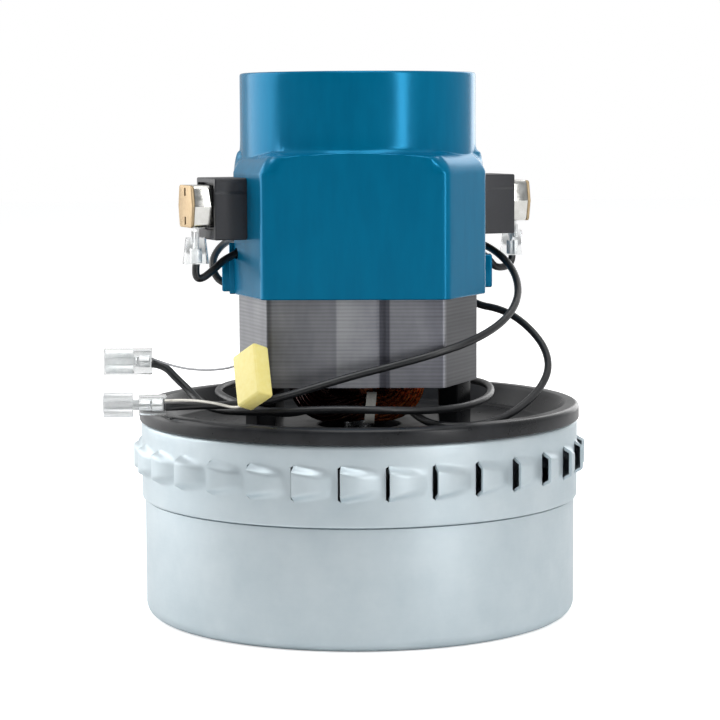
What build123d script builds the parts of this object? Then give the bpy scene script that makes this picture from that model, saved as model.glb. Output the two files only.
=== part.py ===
"""Two-stage bypass motor unit of a wet and dry vacuum cleaner, in millimetres.

The motor stands upright: the fan casing with its louvred band is at the bottom, the laminated
stator stands in the bracket's dish above it, and the moulded commutator housing with its round
neck is at the top. The origin is the centre of the casing's flat bottom and +Z is the motor axis.
X runs to the right of someone who faces the capacitor, and Y runs away from them.
"""

import os
from math import atan2, cos, degrees, radians, sin, tan

from build123d import *

os.makedirs("parts", exist_ok=True)

# General values
overrun = 1.0
seat_gap = 0.05
running_gap = 0.05
facet_count = 12
sheet = 0.9

# Lower can, a drawn steel cup with the suction eye in its floor
can_radius = 72.2
can_height = 43.0
can_corner = 4.0
can_step = 0.6
eye_radius = 20.0
eye_collar = 5.0

# Louvred band, pressed over the can
band_bottom = 39.6
band_top = 65.3
band_corner = 1.4
band_flange = 7.0
louvre_count = 31
louvre_first = -94.5
louvre_middle = 53.2
louvre_base = 11.0
louvre_lip = 7.4
louvre_rise = 3.1
louvre_sweep = 9.8

# Upper bracket, the black dish that carries the stator and the lower bearing
rim_radius = 73.8
rim_height = 5.1
rim_chamfer = 1.6
rim_land = 2.2
dish_wall = 2.4
dish_floor = 62.6
dish_floor_radius = 57.0
rim_notch_width = 5.0
rim_notch_depth = 1.4
rim_notch_angle = 12.0
pillar_length = 12.0
pillar_width = 6.6
pillar_shift = 6.0

# Stator, coils and housing all stand turned a little on the can
body_turn = -1.5

# Stator laminations
stator_bottom = 79.0
stator_top = 116.0
stator_front = 38.0
stator_front_half = 28.5
stator_side = 39.3
stator_side_half = 12.0
stator_corner = 1.2
yoke = 7.6
pole_half = 11.8
horn_outer = 25.6
pole_horn_degrees = 104.0
pole_bore = 22.0
weld_groove_width = 2.8
weld_groove_depth = 1.0
weld_groove_place = 8.2

# Field coils, one round each pole
wire_side = 2.5
wire_depth = 5.7
wire_pitch = 3.2
coil_turns = 3
coil_inner_half = 14.4
coil_inner_corner = 3.0
coil_end_clearance = 3.4
coil_to_yoke = 0.5
tape_thickness = 0.4
tape_width = 3.2
tape_place = 4.3
liner_thickness = 0.35
liner_gap = 0.4
liner_overhang = 0.3

# Long screws that clamp the stator between the bracket and the housing
boss_height = 9.0
screw_radius = 2.0
screw_hole_gap = 0.15
screw_sides = 8
screw_head_radius = 3.6
screw_head_height = 2.6
screw_grip = 7.6

# Commutator housing, a moulded shell with the neck
skirt_bottom = 107.4
housing_front = 40.2
housing_front_half = 29.6
housing_near_side = 42.2
housing_far_side = 40.7
housing_side_half = 13.0
housing_corner = 3.5
stator_seat_gap = 0.2
seat_ledge = 2.0
arch_corner_radius = 49.9
arch_corner_height = 148.0
arch_rise = 5.0
arch_shoulder_radius = 47.0
shoulder_rise = 2.6
neck_fillet = 1.2
neck_radius = 39.2
neck_wall = 2.4
neck_length = 24.4
bridge_height = 10.0
bridge_hub_radius = 14.6
spoke_count = 4
spoke_width = 4.0
spoke_first = 67.0
hook_reach = 4.2
hook_width = 8.0
hook_bottom = 108.2
hook_height = 11.0
hook_place = 8.0
hook_fin_place = 3.5
hook_fin_reach = 1.7
hook_fin_height = 17.0
hook_fin_width = 2.0
lead_hole_radius = 1.9
lead_hole_depth = 4.0
lead_hole_sides = 8
lead_hole_height = 121.0
lead_hole_inset = 2.2
link_hole_height = 109.8
link_hole_place = 0.5

# Brush gear, in line with a skewed axis through the commutator
brush_axis_angle = 22.0
brush_axis_height = 136.9
holder_width = 19.0
holder_height = 20.0
holder_drop = 0.9
holder_outer = 53.5
holder_inner = 21.0
holder_collar_gap = 0.8
holder_collar_depth = 2.0
window_gap = 0.15
brush_width = 6.4
brush_height = 11.0
brush_length = 20.0
brush_slip = 0.1
tube_wall = 0.7
tube_inner_reach = 16.0
ferrule_length = 6.1
ferrule_height = 13.7
ferrule_width = 12.0
ferrule_ridge = 1.3
cap_thickness = 1.0
cap_slot_width = 1.2
cap_slot_length = 3.4
cap_slot_place = 4.3
brush_face_gap = 0.15
spring_radius = 2.6
spring_wall = 0.7
tag_width = 4.8
tag_thickness = 0.9
tag_length = 5.5
tag_reach = 3.6
crimp_radius = 2.0
crimp_length = 6.0
sleeve_taper = 7.5
sleeve_bottom_radius = 4.4
sleeve_wall = 0.45
sleeve_length = 8.6
sleeve_cover = 2.2

# Rotor
shaft_tip = 9.0
fan_shaft_radius = 4.0
bearing_shaft_radius = 6.0
core_shaft_radius = 5.0
shaft_end_depth = 2.0
core_radius = 21.4
core_overhang = 0.5
shaft_step_gap = 1.0
slot_count = 12
slot_depth = 10.4
slot_width = 4.6
winding_height = 9.8
winding_step = 1.8
winding_shoulder = 4.0
commutator_gap = 0.5
commutator_radius = 12.5
commutator_bottom = 124.0
commutator_top = 146.0
bar_count = 24
riser_height = 2.4
riser_radius = 14.2

# Ball bearings
lower_bearing_radius = 14.0
lower_bearing_height = 8.0
lower_bearing_bottom = 50.5
upper_bearing_radius = 11.0
upper_bearing_height = 7.0
upper_bearing_lift = 1.4
bearing_shoulder = 1.6
bearing_sides = 24
dish_sides = 48
bearing_wall = 3.0
shoulder_lip = 3.0

# Fan stages
impeller_clearance = 9.3
impeller_sides = 32
impeller_sheet = 1.0
impeller_blades = 7
blade_thickness = 1.0
blade_inner_radius = 24.0
blade_sweep = 46.0
blade_curve_share = 0.9
impeller_height = 11.0
first_impeller_bottom = 6.6
second_impeller_bottom = 33.6
impeller_eye_radius = 21.5
stage_plate_bottom = 19.4
stage_plate_height = 11.6
stage_eye_radius = 19.0
vane_count = 9
vane_thickness = 1.0
vane_inner_radius = 24.0
vane_clearance = 7.3
vane_sweep = 38.0
spacer_radius = 7.6
baffle_gap = 1.4
washer_radius = 9.0
washer_thickness = 1.2
nut_height = 6.0
nut_radius = 7.5
nut_sides = 6

# Cooling fan in the neck
cooling_fan_radius = 34.5
cooling_fan_lift = 3.0
cooling_fan_height = 10.0
cooling_hub_radius = 10.0
cooling_blades = 8
cooling_blade_thickness = 1.4
cooling_blade_chord = 11.5
cooling_blade_pitch = 38.0

# Leads, spade terminals and capacitor
lead_diameter = 2.5
lead_sides = 4
wire_sides = 4
arc_share = 0.45
spade_length = 9.6
spade_width = 7.6
spade_roll = 1.9
spade_thickness = 0.5
spade_crimp_length = 3.7
spade_crimp_radius = 2.3
cover_height = 5.6
cover_wall = 0.4
cover_bevel = 1.6
capacitor_width = 11.0
capacitor_length = 18.0
capacitor_thickness = 6.0
capacitor_edge = 0.5
capacitor_lead_radius = 0.6
capacitor_lead_inset = 1.5
capacitor_lead_stub = 3.0
capacitor_place = (-40.0, -50.0, 90.4)
capacitor_across = (0.654, -0.578, 0.495)
capacitor_through = (0.750, 0.581, -0.3125)


# Heights and radii that follow from the ones above
arch_shoulder_height = arch_corner_height + arch_rise
neck_base = arch_shoulder_height + shoulder_rise
neck_top = neck_base + neck_length
bridge_bottom = arch_corner_height
bridge_top = bridge_bottom + bridge_height
upper_bearing_bottom = bridge_bottom + upper_bearing_lift
cooling_fan_bottom = bridge_top + cooling_fan_lift
shaft_end = neck_top - shaft_end_depth
impeller_radius = can_radius - sheet - impeller_clearance
vane_outer_radius = can_radius - sheet - vane_clearance


def turned(x, y):
    """A place on the stator, given before it is turned on the can."""
    turn = radians(body_turn)
    return (x * cos(turn) - y * sin(turn), x * sin(turn) + y * cos(turn))


def body_plane(height):
    """Level plane of the stator and the housing at a height."""
    return Plane((0, 0, height), x_dir=(cos(radians(body_turn)), sin(radians(body_turn)), 0))


def radial_plane(angle):
    """Upright plane through the motor axis: its x runs outwards and its y runs up."""
    turn = radians(angle)
    return Plane((0, 0, 0), x_dir=(cos(turn), sin(turn), 0), z_dir=(sin(turn), -cos(turn), 0))


def brush_plane(angle, distance):
    """Upright plane square to the brush axis, its normal pointing outwards."""
    turn = radians(angle)
    centre = (distance * cos(turn), distance * sin(turn), brush_axis_height)
    return Plane(centre, x_dir=(-sin(turn), cos(turn), 0), z_dir=(cos(turn), sin(turn), 0))


def finish(piece, name):
    """Label a piece and write its file."""
    piece.part.label = name
    export_step(piece.part, f"parts/{name}.step")


def faceted_ring(name, outer, inner, bottom, height, sides=facet_count):
    """A small ring inside the motor, drawn with flats to keep it light."""
    with BuildPart() as piece:
        with BuildSketch(Plane.XY.offset(bottom)):
            RegularPolygon(outer, sides)
            RegularPolygon(inner, sides, major_radius=False, mode=Mode.SUBTRACT)
        extrude(amount=height)
    finish(piece, name)


def least_gap(route, width):
    """Least gap of a wound wire to its own other turns, measured on points of its path."""
    step = width / 2
    count = int(sum(edge.length for edge in route.edges()) / step)
    points = [route.line @ (number / count) for number in range(count + 1)]
    apart = int(4 * width / step)
    gaps = [
        (here - there).length
        for number, here in enumerate(points)
        for there in points[number + apart :]
    ]
    return min(gaps) - width


# Lower can, its rounded corner drawn in two steps, drawn in a little under the band
can_corner_inset = can_corner * (1 - cos(radians(45)))
with BuildPart() as lower_can:
    with BuildSketch(Plane.XZ):
        Polygon(
            (can_radius - can_corner, 0),
            (eye_radius, 0),
            (eye_radius, eye_collar),
            (eye_radius + sheet, eye_collar),
            (eye_radius + sheet, sheet),
            (can_radius - can_corner, sheet),
            (can_radius - sheet, can_corner),
            (can_radius - sheet, band_bottom - sheet),
            (can_radius - can_step - sheet, band_bottom),
            (can_radius - can_step - sheet, can_height),
            (can_radius - can_step, can_height),
            (can_radius - can_step, band_bottom),
            (can_radius, band_bottom),
            (can_radius, can_corner),
            (can_radius - can_corner_inset, can_corner_inset),
            align=None,
        )
    revolve(axis=Axis.Z)
finish(lower_can, "lower_can")

# Louvred band: its louvres are lanced hoods that open the way the air swirls
band_inner = can_radius - can_step + seat_gap
band_radius = can_radius + seat_gap + sheet


def louvre(inset, base, start):
    """One hood with flat faces, made in its own part: a wedge in plan, sloped above and below."""
    tip_x = band_radius * cos(radians(louvre_sweep))
    tip_y = band_radius * sin(radians(louvre_sweep))
    lean = atan2(band_radius + louvre_rise - tip_x, tip_y)
    lip = band_radius + louvre_rise - inset / cos(lean)
    end = tip_y - inset * sin(lean)
    tall = louvre_base / 2 - inset
    short = louvre_lip / 2 - inset
    deep = base - 2 * overrun
    with BuildPart() as hood:
        with BuildSketch(Plane.XY.offset(louvre_middle)):
            Polygon(
                (base, start),
                (lip - start * tan(lean), start),
                (lip - end * tan(lean), end),
                ((base**2 - end**2) ** 0.5, end),
                align=None,
            )
        extrude(amount=tall, both=True)
        with BuildSketch(Plane.XZ.offset(-start)):
            with Locations((0, louvre_middle)):
                Polygon(
                    (deep, tall),
                    (band_radius - inset, tall),
                    (lip, short),
                    (lip + overrun, short),
                    (lip + overrun, -short),
                    (lip, -short),
                    (band_radius - inset, -tall),
                    (deep, -tall),
                    align=None,
                )
        extrude(amount=start - end, mode=Mode.INTERSECT)
    return hood.part


hood_skin = louvre(0, band_radius - sheet / 2, 0)
hood_hollow = louvre(sheet, band_inner - overrun, -overrun)
with BuildPart() as louvred_band:
    with BuildSketch(Plane.XZ):
        Polygon(
            (band_radius, band_top - band_corner),
            (band_radius, band_bottom),
            (band_inner, band_bottom),
            (band_inner, band_top - band_corner),
            (band_radius - band_corner, band_top - sheet),
            (band_radius - band_flange, band_top - sheet),
            (band_radius - band_flange, band_top),
            (band_radius - band_corner, band_top),
            align=None,
        )
    revolve(axis=Axis.Z)
    with PolarLocations(0, louvre_count, start_angle=louvre_first):
        add(hood_skin)
    with PolarLocations(0, louvre_count, start_angle=louvre_first):
        add(hood_hollow, mode=Mode.SUBTRACT)
finish(louvred_band, "louvred_band")

# Outlines of the stator and the housing, drawn before they are turned


def octagon(front, front_half, near_side, far_side, side_half):
    """Outline with eight flats that looks the same after half a turn."""
    half = [(-front_half, -front), (front_half, -front), (near_side, -side_half), (far_side, side_half)]
    with BuildSketch() as outline:
        Polygon(*half, *[(-x, -y) for x, y in half], align=None)
    return outline


def grown(outline, amount):
    """The outline moved outwards, or inwards where the amount is negative, with sharp corners."""
    with BuildSketch() as result:
        add(outline.sketch)
        offset(amount=amount, kind=Kind.INTERSECTION)
    return result


def rounded(outline, radius):
    """The outline with its corners rounded."""
    with BuildSketch() as result:
        add(outline.sketch)
        fillet(result.vertices(), radius)
    return result


stator_octagon = octagon(stator_front, stator_front_half, stator_side, stator_side, stator_side_half)
housing_octagon = octagon(
    housing_front, housing_front_half, housing_near_side, housing_far_side, housing_side_half
)
stator_outline = rounded(stator_octagon, stator_corner)
stator_window = grown(stator_octagon, -yoke)
housing_outline = rounded(housing_octagon, housing_corner)
pocket_outline = grown(stator_octagon, stator_seat_gap)
chamber_outline = grown(stator_octagon, -seat_ledge)

# Places of the four clamping screws, in the middle of the yoke behind the slanted flats
facet_wide = stator_side - stator_front_half
facet_deep = stator_front - stator_side_half
facet_turn = atan2(facet_wide, facet_deep)
facet_reach = stator_side * cos(facet_turn) + stator_side_half * sin(facet_turn)
clamp_reach = facet_reach - yoke / 2
clamp_x = clamp_reach * cos(facet_turn) - pillar_shift * sin(facet_turn)
clamp_y = clamp_reach * sin(facet_turn) + pillar_shift * cos(facet_turn)
clamp_tilt = 90 + degrees(facet_turn)
clamp_places = [
    Location((side_x * clamp_x, side_y * clamp_y, 0), side_x * side_y * clamp_tilt)
    for side_x in (1, -1)
    for side_y in (1, -1)
]

# Upper bracket: rim on the band, dish, bearing boss and four pillars for the stator
rim_top = band_top + rim_height
rim_inner = rim_radius - rim_chamfer - rim_land
boss_radius = lower_bearing_radius + bearing_wall
boss_bottom = lower_bearing_bottom - bearing_shoulder
dish_under = dish_floor - dish_wall
dish_outer_radius = band_radius - band_flange - seat_gap

with BuildPart() as upper_bracket:
    with BuildSketch(Plane.XZ):
        Polygon(
            (0, band_top),
            (rim_radius, band_top),
            (rim_radius, rim_top - rim_chamfer),
            (rim_radius - rim_chamfer, rim_top),
            (0, rim_top),
            align=None,
        )
    revolve(axis=Axis.Z)
    with BuildSketch(Plane.XY.offset(dish_under)):
        RegularPolygon(dish_floor_radius, dish_sides)
    with BuildSketch(Plane.XY.offset(band_top)):
        RegularPolygon(dish_outer_radius, dish_sides)
    loft()
    with BuildSketch(Plane.XY.offset(dish_floor)):
        RegularPolygon(dish_floor_radius, dish_sides)
    with BuildSketch(Plane.XY.offset(rim_top)):
        RegularPolygon(rim_inner, dish_sides)
    loft(mode=Mode.SUBTRACT)
    with BuildSketch(Plane.XY.offset(boss_bottom)):
        RegularPolygon(boss_radius, bearing_sides)
    extrude(amount=dish_floor - boss_bottom)
    with BuildSketch(Plane.XY.offset(lower_bearing_bottom)):
        RegularPolygon(lower_bearing_radius + seat_gap, bearing_sides)
    extrude(amount=dish_floor - lower_bearing_bottom + overrun, mode=Mode.SUBTRACT)
    with BuildSketch(Plane.XY.offset(boss_bottom - overrun)):
        RegularPolygon(lower_bearing_radius - shoulder_lip, bearing_sides)
    extrude(amount=dish_floor - boss_bottom + 2 * overrun, mode=Mode.SUBTRACT)
    with BuildSketch(body_plane(dish_under)):
        with Locations(*clamp_places):
            Rectangle(pillar_length, pillar_width)
    extrude(amount=stator_bottom - dish_under)
    with BuildSketch(body_plane(dish_under - overrun)):
        with Locations(*clamp_places):
            RegularPolygon(screw_radius + screw_hole_gap, screw_sides)
    extrude(amount=stator_bottom - dish_under + 2 * overrun, mode=Mode.SUBTRACT)
    with BuildSketch(Plane.XY.offset(rim_top + overrun)):
        with PolarLocations(rim_radius, 1, start_angle=rim_notch_angle):
            Rectangle(2 * rim_notch_depth, rim_notch_width)
    extrude(amount=-rim_height / 2 - overrun, mode=Mode.SUBTRACT)
finish(upper_bracket, "upper_bracket")

# Stator laminations: yoke, two poles with horns and a weld groove in the front and rear flats
horn_spread = horn_outer * cos(radians(pole_horn_degrees / 2))
with BuildSketch() as horns:
    Circle(horn_outer)
    Rectangle(2 * horn_outer, 2 * horn_spread, mode=Mode.SUBTRACT)
with BuildPart() as stator_core:
    with BuildSketch(body_plane(stator_bottom)):
        add(stator_outline.sketch)
        add(stator_window.sketch, mode=Mode.SUBTRACT)
        Rectangle(2 * pole_half, 2 * (stator_front - yoke / 2))
        add(horns.sketch)
        Circle(pole_bore, mode=Mode.SUBTRACT)
        with Locations((weld_groove_place, -stator_front), (-weld_groove_place, stator_front)):
            Rectangle(weld_groove_width, 2 * weld_groove_depth, mode=Mode.SUBTRACT)
        with Locations(*clamp_places):
            RegularPolygon(screw_radius + screw_hole_gap, screw_sides, mode=Mode.SUBTRACT)
    extrude(amount=stator_top - stator_bottom)
finish(stator_core, "stator_core")

# Field coils: flat wire on edge, wound outwards round each pole as one spiral
stack_half = (stator_top - stator_bottom) / 2
stack_middle = (stator_top + stator_bottom) / 2
coil_middle_y = stator_front - yoke - coil_to_yoke - wire_depth / 2
coil_span = wire_side + (coil_turns - 1) * wire_pitch


def field_coil(name, side):
    """Sweep the wire of one coil. Side is -1 for the front pole and 1 for the rear one."""
    def place(across, up):
        return turned(-side * across, side * coil_middle_y) + (stack_middle + up,)

    points = [place(-coil_inner_half, 0)]
    radii = []
    for turn_number in range(coil_turns):
        half = coil_inner_half + turn_number * wire_pitch
        next_half = half + wire_pitch
        rise = stack_half + coil_end_clearance + turn_number * wire_pitch
        points += [place(-half, -rise), place(half, -rise), place(half, rise), place(-next_half, rise)]
        radii += [coil_inner_corner + turn_number * wire_pitch] * 4
    points[-1] = place(0, rise)
    radii = radii[:-1]
    with BuildPart() as coil:
        with BuildLine() as route:
            FilletPolyline(*points, radius=radii)
        with BuildSketch(Plane(points[0], x_dir=body_plane(0).x_dir, z_dir=(0, 0, -1))):
            Rectangle(wire_side, wire_depth)
        sweep(path=route.line)
    length = sum(edge.length for edge in route.edges())
    share = coil.part.volume / (wire_side * wire_depth * length)
    print(name, "wire length", round(length), "volume share", round(share, 4))
    print("  least gap to itself", round(least_gap(route, wire_side), 2))
    finish(coil, name)


field_coil("front_field_coil", -1)
field_coil("rear_field_coil", 1)

# Slot liners, folded paper tubes round the four coil sides
liner_inner_x = coil_inner_half - wire_side / 2 - liner_gap
liner_outer_x = coil_inner_half - wire_side / 2 + coil_span + liner_gap
liner_outer_y = coil_middle_y + wire_depth / 2 + seat_gap
liner_inner_y = coil_middle_y - wire_depth / 2 - liner_gap
liner_width = liner_outer_x - liner_inner_x
liner_depth = liner_outer_y - liner_inner_y
with BuildPart() as slot_liners:
    with BuildSketch(body_plane(stator_bottom - liner_overhang)):
        for side_x in (1, -1):
            for side_y in (1, -1):
                centre_x = side_x * (liner_inner_x + liner_width / 2)
                centre_y = side_y * (liner_inner_y + liner_depth / 2)
                with Locations((centre_x, centre_y)):
                    Rectangle(liner_width + 2 * liner_thickness, liner_depth + 2 * liner_thickness)
                    Rectangle(liner_width, liner_depth, mode=Mode.SUBTRACT)
    extrude(amount=stator_top - stator_bottom + 2 * liner_overhang)
finish(slot_liners, "slot_liners")

# Lacing tapes round the straight of each end turn
bundle_bottom = stator_bottom - coil_end_clearance - coil_span + wire_side / 2
bundle_top = stator_top + coil_end_clearance - wire_side / 2
tape_inner_depth = wire_depth + 2 * seat_gap
tape_inner_span = coil_span + 2 * seat_gap
with BuildPart() as lacing_tapes:
    for bottom in (bundle_bottom, bundle_top):
        for side in (1, -1):
            middle = bottom + coil_span / 2
            spot = turned(-side * tape_place, side * coil_middle_y)
            across = turned(1, 0)
            with BuildSketch(Plane(spot + (middle,), x_dir=turned(0, 1) + (0,), z_dir=across + (0,))):
                Rectangle(tape_inner_depth + 2 * tape_thickness, tape_inner_span + 2 * tape_thickness)
                Rectangle(tape_inner_depth, tape_inner_span, mode=Mode.SUBTRACT)
            extrude(amount=tape_width / 2, both=True)
finish(lacing_tapes, "lacing_tapes")

# Clamping screws, from under the dish through bracket and stator into the housing
with BuildPart() as clamping_screws:
    with BuildSketch(body_plane(dish_under - screw_head_height)):
        with Locations(*clamp_places):
            RegularPolygon(screw_head_radius, screw_sides)
    extrude(amount=screw_head_height)
    with BuildSketch(body_plane(dish_under)):
        with Locations(*clamp_places):
            RegularPolygon(screw_radius, screw_sides)
    extrude(amount=stator_top + screw_grip - dish_under)
finish(clamping_screws, "clamping_screws")

# Commutator housing: octagonal body with arched flats, neck, bearing bridge and wire hooks
neck_bore = neck_radius - neck_wall
arch_slope = (arch_shoulder_height - arch_corner_height) / (arch_corner_radius - arch_shoulder_radius)
body_reach = housing_front + housing_near_side
body_reach_height = arch_corner_height - arch_slope * (body_reach - arch_corner_radius)
hub_hole = upper_bearing_radius - shoulder_lip
skirt_facet_turn = atan2(housing_far_side - housing_front_half, housing_front - housing_side_half)
facet_normal = turned(cos(skirt_facet_turn), sin(skirt_facet_turn)) + (0,)


def lead_hole_spot(side):
    """Where a brush lead goes in, on a slanted flat close to its corner with the side flat."""
    x = housing_far_side - lead_hole_inset * sin(skirt_facet_turn)
    y = housing_side_half + lead_hole_inset * cos(skirt_facet_turn)
    return turned(side * x, side * y) + (lead_hole_height,)


with BuildPart() as commutator_housing:
    with BuildSketch(body_plane(skirt_bottom)):
        add(housing_outline.sketch)
    extrude(amount=neck_base - skirt_bottom)
    with BuildSketch(Plane.XZ):
        Polygon(
            (0, skirt_bottom - overrun),
            (body_reach, skirt_bottom - overrun),
            (body_reach, body_reach_height),
            (arch_shoulder_radius, arch_shoulder_height),
            (neck_radius + neck_fillet, neck_base - neck_fillet),
            (neck_radius, neck_base),
            (0, neck_base),
            align=None,
        )
    revolve(axis=Axis.Z, mode=Mode.INTERSECT)
    with BuildSketch(Plane.XY.offset(arch_corner_height)):
        Circle(neck_radius)
    extrude(amount=neck_top - arch_corner_height)
    with BuildSketch(body_plane(skirt_bottom - overrun)):
        add(pocket_outline.sketch)
    extrude(amount=stator_top - skirt_bottom + overrun, mode=Mode.SUBTRACT)
    with BuildSketch(body_plane(stator_top - overrun)):
        add(chamber_outline.sketch)
        with Locations(*clamp_places):
            Rectangle(pillar_length, 2 * yoke, mode=Mode.SUBTRACT)
    extrude(amount=boss_height + overrun, mode=Mode.SUBTRACT)
    with BuildSketch(body_plane(stator_top + boss_height)):
        add(chamber_outline.sketch)
    extrude(amount=bridge_bottom - stator_top - boss_height, mode=Mode.SUBTRACT)
    with BuildSketch(Plane.XY.offset(bridge_bottom)):
        RegularPolygon(neck_bore, dish_sides)
    extrude(amount=neck_top - bridge_bottom + overrun, mode=Mode.SUBTRACT)
    with BuildSketch(Plane.XY.offset(bridge_bottom)):
        RegularPolygon(bridge_hub_radius, bearing_sides)
        with PolarLocations((bridge_hub_radius + neck_bore) / 2, spoke_count, start_angle=spoke_first):
            Rectangle(neck_bore - bridge_hub_radius + neck_wall, spoke_width)
        RegularPolygon(hub_hole, facet_count, mode=Mode.SUBTRACT)
    extrude(amount=bridge_top - bridge_bottom)
    with BuildSketch(Plane.XY.offset(bridge_bottom)):
        RegularPolygon(upper_bearing_radius + seat_gap, bearing_sides)
    extrude(amount=upper_bearing_bottom + upper_bearing_height - bridge_bottom, mode=Mode.SUBTRACT)
    with BuildSketch(body_plane(stator_top)):
        with Locations(*clamp_places):
            RegularPolygon(screw_radius + screw_hole_gap, screw_sides)
    extrude(amount=screw_grip + screw_hole_gap, mode=Mode.SUBTRACT)
    for angle in (brush_axis_angle, brush_axis_angle + 180):
        with BuildSketch(brush_plane(angle, holder_inner)):
            with Locations((0, -holder_drop)):
                Rectangle(holder_width + 2 * window_gap, holder_height + 2 * window_gap)
        extrude(amount=holder_outer, mode=Mode.SUBTRACT)
    for side in (1, -1):
        hook_root = side * (housing_far_side + stator_side + stator_seat_gap) / 2
        hook_tip = side * (housing_far_side + hook_reach)
        fin_tip = side * (housing_far_side + hook_fin_reach)
        with BuildSketch(body_plane(hook_bottom)):
            with Locations(((hook_root + hook_tip) / 2, side * hook_place)):
                Rectangle(abs(hook_tip - hook_root), hook_width)
        extrude(amount=hook_height)
        with BuildSketch(body_plane(skirt_bottom)):
            with Locations(((hook_root + fin_tip) / 2, side * (hook_place + hook_fin_place))):
                Rectangle(abs(fin_tip - hook_root), hook_fin_width)
        extrude(amount=hook_fin_height)
    for side in (1, -1):
        with BuildSketch(Plane(lead_hole_spot(side), z_dir=facet_normal)):
            RegularPolygon(lead_hole_radius, lead_hole_sides)
        extrude(amount=lead_hole_depth, both=True, mode=Mode.SUBTRACT)
    with BuildSketch(Plane(turned(-housing_far_side, link_hole_place) + (link_hole_height,), z_dir=Plane.YZ.z_dir)):
        RegularPolygon(lead_hole_radius, lead_hole_sides)
    extrude(amount=lead_hole_depth, both=True, mode=Mode.SUBTRACT)
finish(commutator_housing, "commutator_housing")

# Brush gear, made alike on both sides
tube_width = brush_width + 2 * (brush_slip + tube_wall)
tube_height = brush_height + 2 * (brush_slip + tube_wall)
ferrule_foot = holder_outer - holder_collar_depth
ferrule_tip = ferrule_foot + ferrule_length + holder_collar_depth
brush_face = commutator_radius + brush_face_gap
brush_back = brush_face + brush_length
ferrule_half_width = ferrule_width / 2
ferrule_half_height = ferrule_height / 2
ferrule_points = (
    (-ferrule_half_width, ferrule_half_height),
    (ferrule_half_width, ferrule_half_height),
    (ferrule_half_width + ferrule_ridge, 0),
    (ferrule_half_width, -ferrule_half_height),
    (-ferrule_half_width, -ferrule_half_height),
    (-ferrule_half_width - ferrule_ridge, 0),
)
tag_top = brush_axis_height - ferrule_half_height
tag_bottom = tag_top - tag_length
crimp_bottom = tag_bottom - crimp_length
for side_name, angle in (("right", brush_axis_angle), ("left", brush_axis_angle + 180)):
    turn = radians(angle)
    tag_spot = ((holder_outer + tag_reach) * cos(turn), (holder_outer + tag_reach) * sin(turn))

    with BuildPart() as brush_holder:
        with BuildSketch(brush_plane(angle, holder_inner)):
            with Locations((0, -holder_drop)):
                Rectangle(holder_width, holder_height)
            Rectangle(tube_width + 2 * seat_gap, tube_height + 2 * seat_gap, mode=Mode.SUBTRACT)
        extrude(amount=holder_outer - holder_inner)
        with BuildSketch(brush_plane(angle, holder_outer)):
            Rectangle(ferrule_width + 2 * (ferrule_ridge + holder_collar_gap), ferrule_height + 2 * holder_collar_gap)
        extrude(amount=-holder_collar_depth, mode=Mode.SUBTRACT)
    finish(brush_holder, side_name + "_brush_holder")

    with BuildPart() as brush_tube:
        with BuildSketch(brush_plane(angle, tube_inner_reach)):
            Rectangle(tube_width, tube_height)
        extrude(amount=ferrule_foot - tube_inner_reach)
        with BuildSketch(brush_plane(angle, ferrule_foot)):
            Polygon(*ferrule_points, align=None)
        extrude(amount=ferrule_tip - ferrule_foot)
        with BuildSketch(brush_plane(angle, tube_inner_reach)):
            Rectangle(brush_width + 2 * brush_slip, brush_height + 2 * brush_slip)
        extrude(amount=ferrule_tip - tube_inner_reach, mode=Mode.SUBTRACT)
    finish(brush_tube, side_name + "_brush_tube")

    with BuildPart() as brush_cap:
        with BuildSketch(brush_plane(angle, ferrule_tip)):
            Polygon(*ferrule_points, align=None)
            with Locations((0, cap_slot_place), (0, -cap_slot_place)):
                Rectangle(cap_slot_width, cap_slot_length, mode=Mode.SUBTRACT)
        extrude(amount=cap_thickness)
    finish(brush_cap, side_name + "_brush_cap")

    with BuildPart() as carbon_brush:
        with BuildSketch(brush_plane(angle, 0)):
            Rectangle(brush_width, brush_height)
        extrude(amount=brush_back)
        with BuildSketch(Plane.XY.offset(commutator_bottom)):
            Circle(brush_face)
        extrude(amount=commutator_top - commutator_bottom, mode=Mode.SUBTRACT)
    finish(carbon_brush, side_name + "_carbon_brush")

    with BuildPart() as brush_spring:
        with BuildSketch(brush_plane(angle, brush_back + seat_gap)):
            RegularPolygon(spring_radius, facet_count)
            RegularPolygon(spring_radius - spring_wall, facet_count, mode=Mode.SUBTRACT)
        extrude(amount=ferrule_tip - brush_back - 2 * seat_gap)
    finish(brush_spring, side_name + "_brush_spring")

    with BuildPart() as brush_terminal:
        with BuildSketch(Plane(tag_spot + (tag_bottom,), x_dir=(cos(turn), sin(turn), 0))):
            Rectangle(tag_thickness, tag_width)
        extrude(amount=tag_length)
        with BuildSketch(Plane(tag_spot + (crimp_bottom,))):
            RegularPolygon(crimp_radius, facet_count)
        extrude(amount=crimp_length)
    finish(brush_terminal, side_name + "_brush_terminal")

    sleeve_top = tag_bottom + sleeve_cover
    with BuildPart() as terminal_sleeve:
        with BuildSketch(Plane(tag_spot + (sleeve_top - sleeve_length,))):
            RegularPolygon(sleeve_bottom_radius, facet_count)
        extrude(amount=sleeve_length, taper=sleeve_taper)
        with BuildSketch(Plane(tag_spot + (sleeve_top - sleeve_length,))):
            RegularPolygon(sleeve_bottom_radius - sleeve_wall, facet_count)
        extrude(amount=sleeve_length, taper=sleeve_taper, mode=Mode.SUBTRACT)
    finish(terminal_sleeve, side_name + "_terminal_sleeve")

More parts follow.
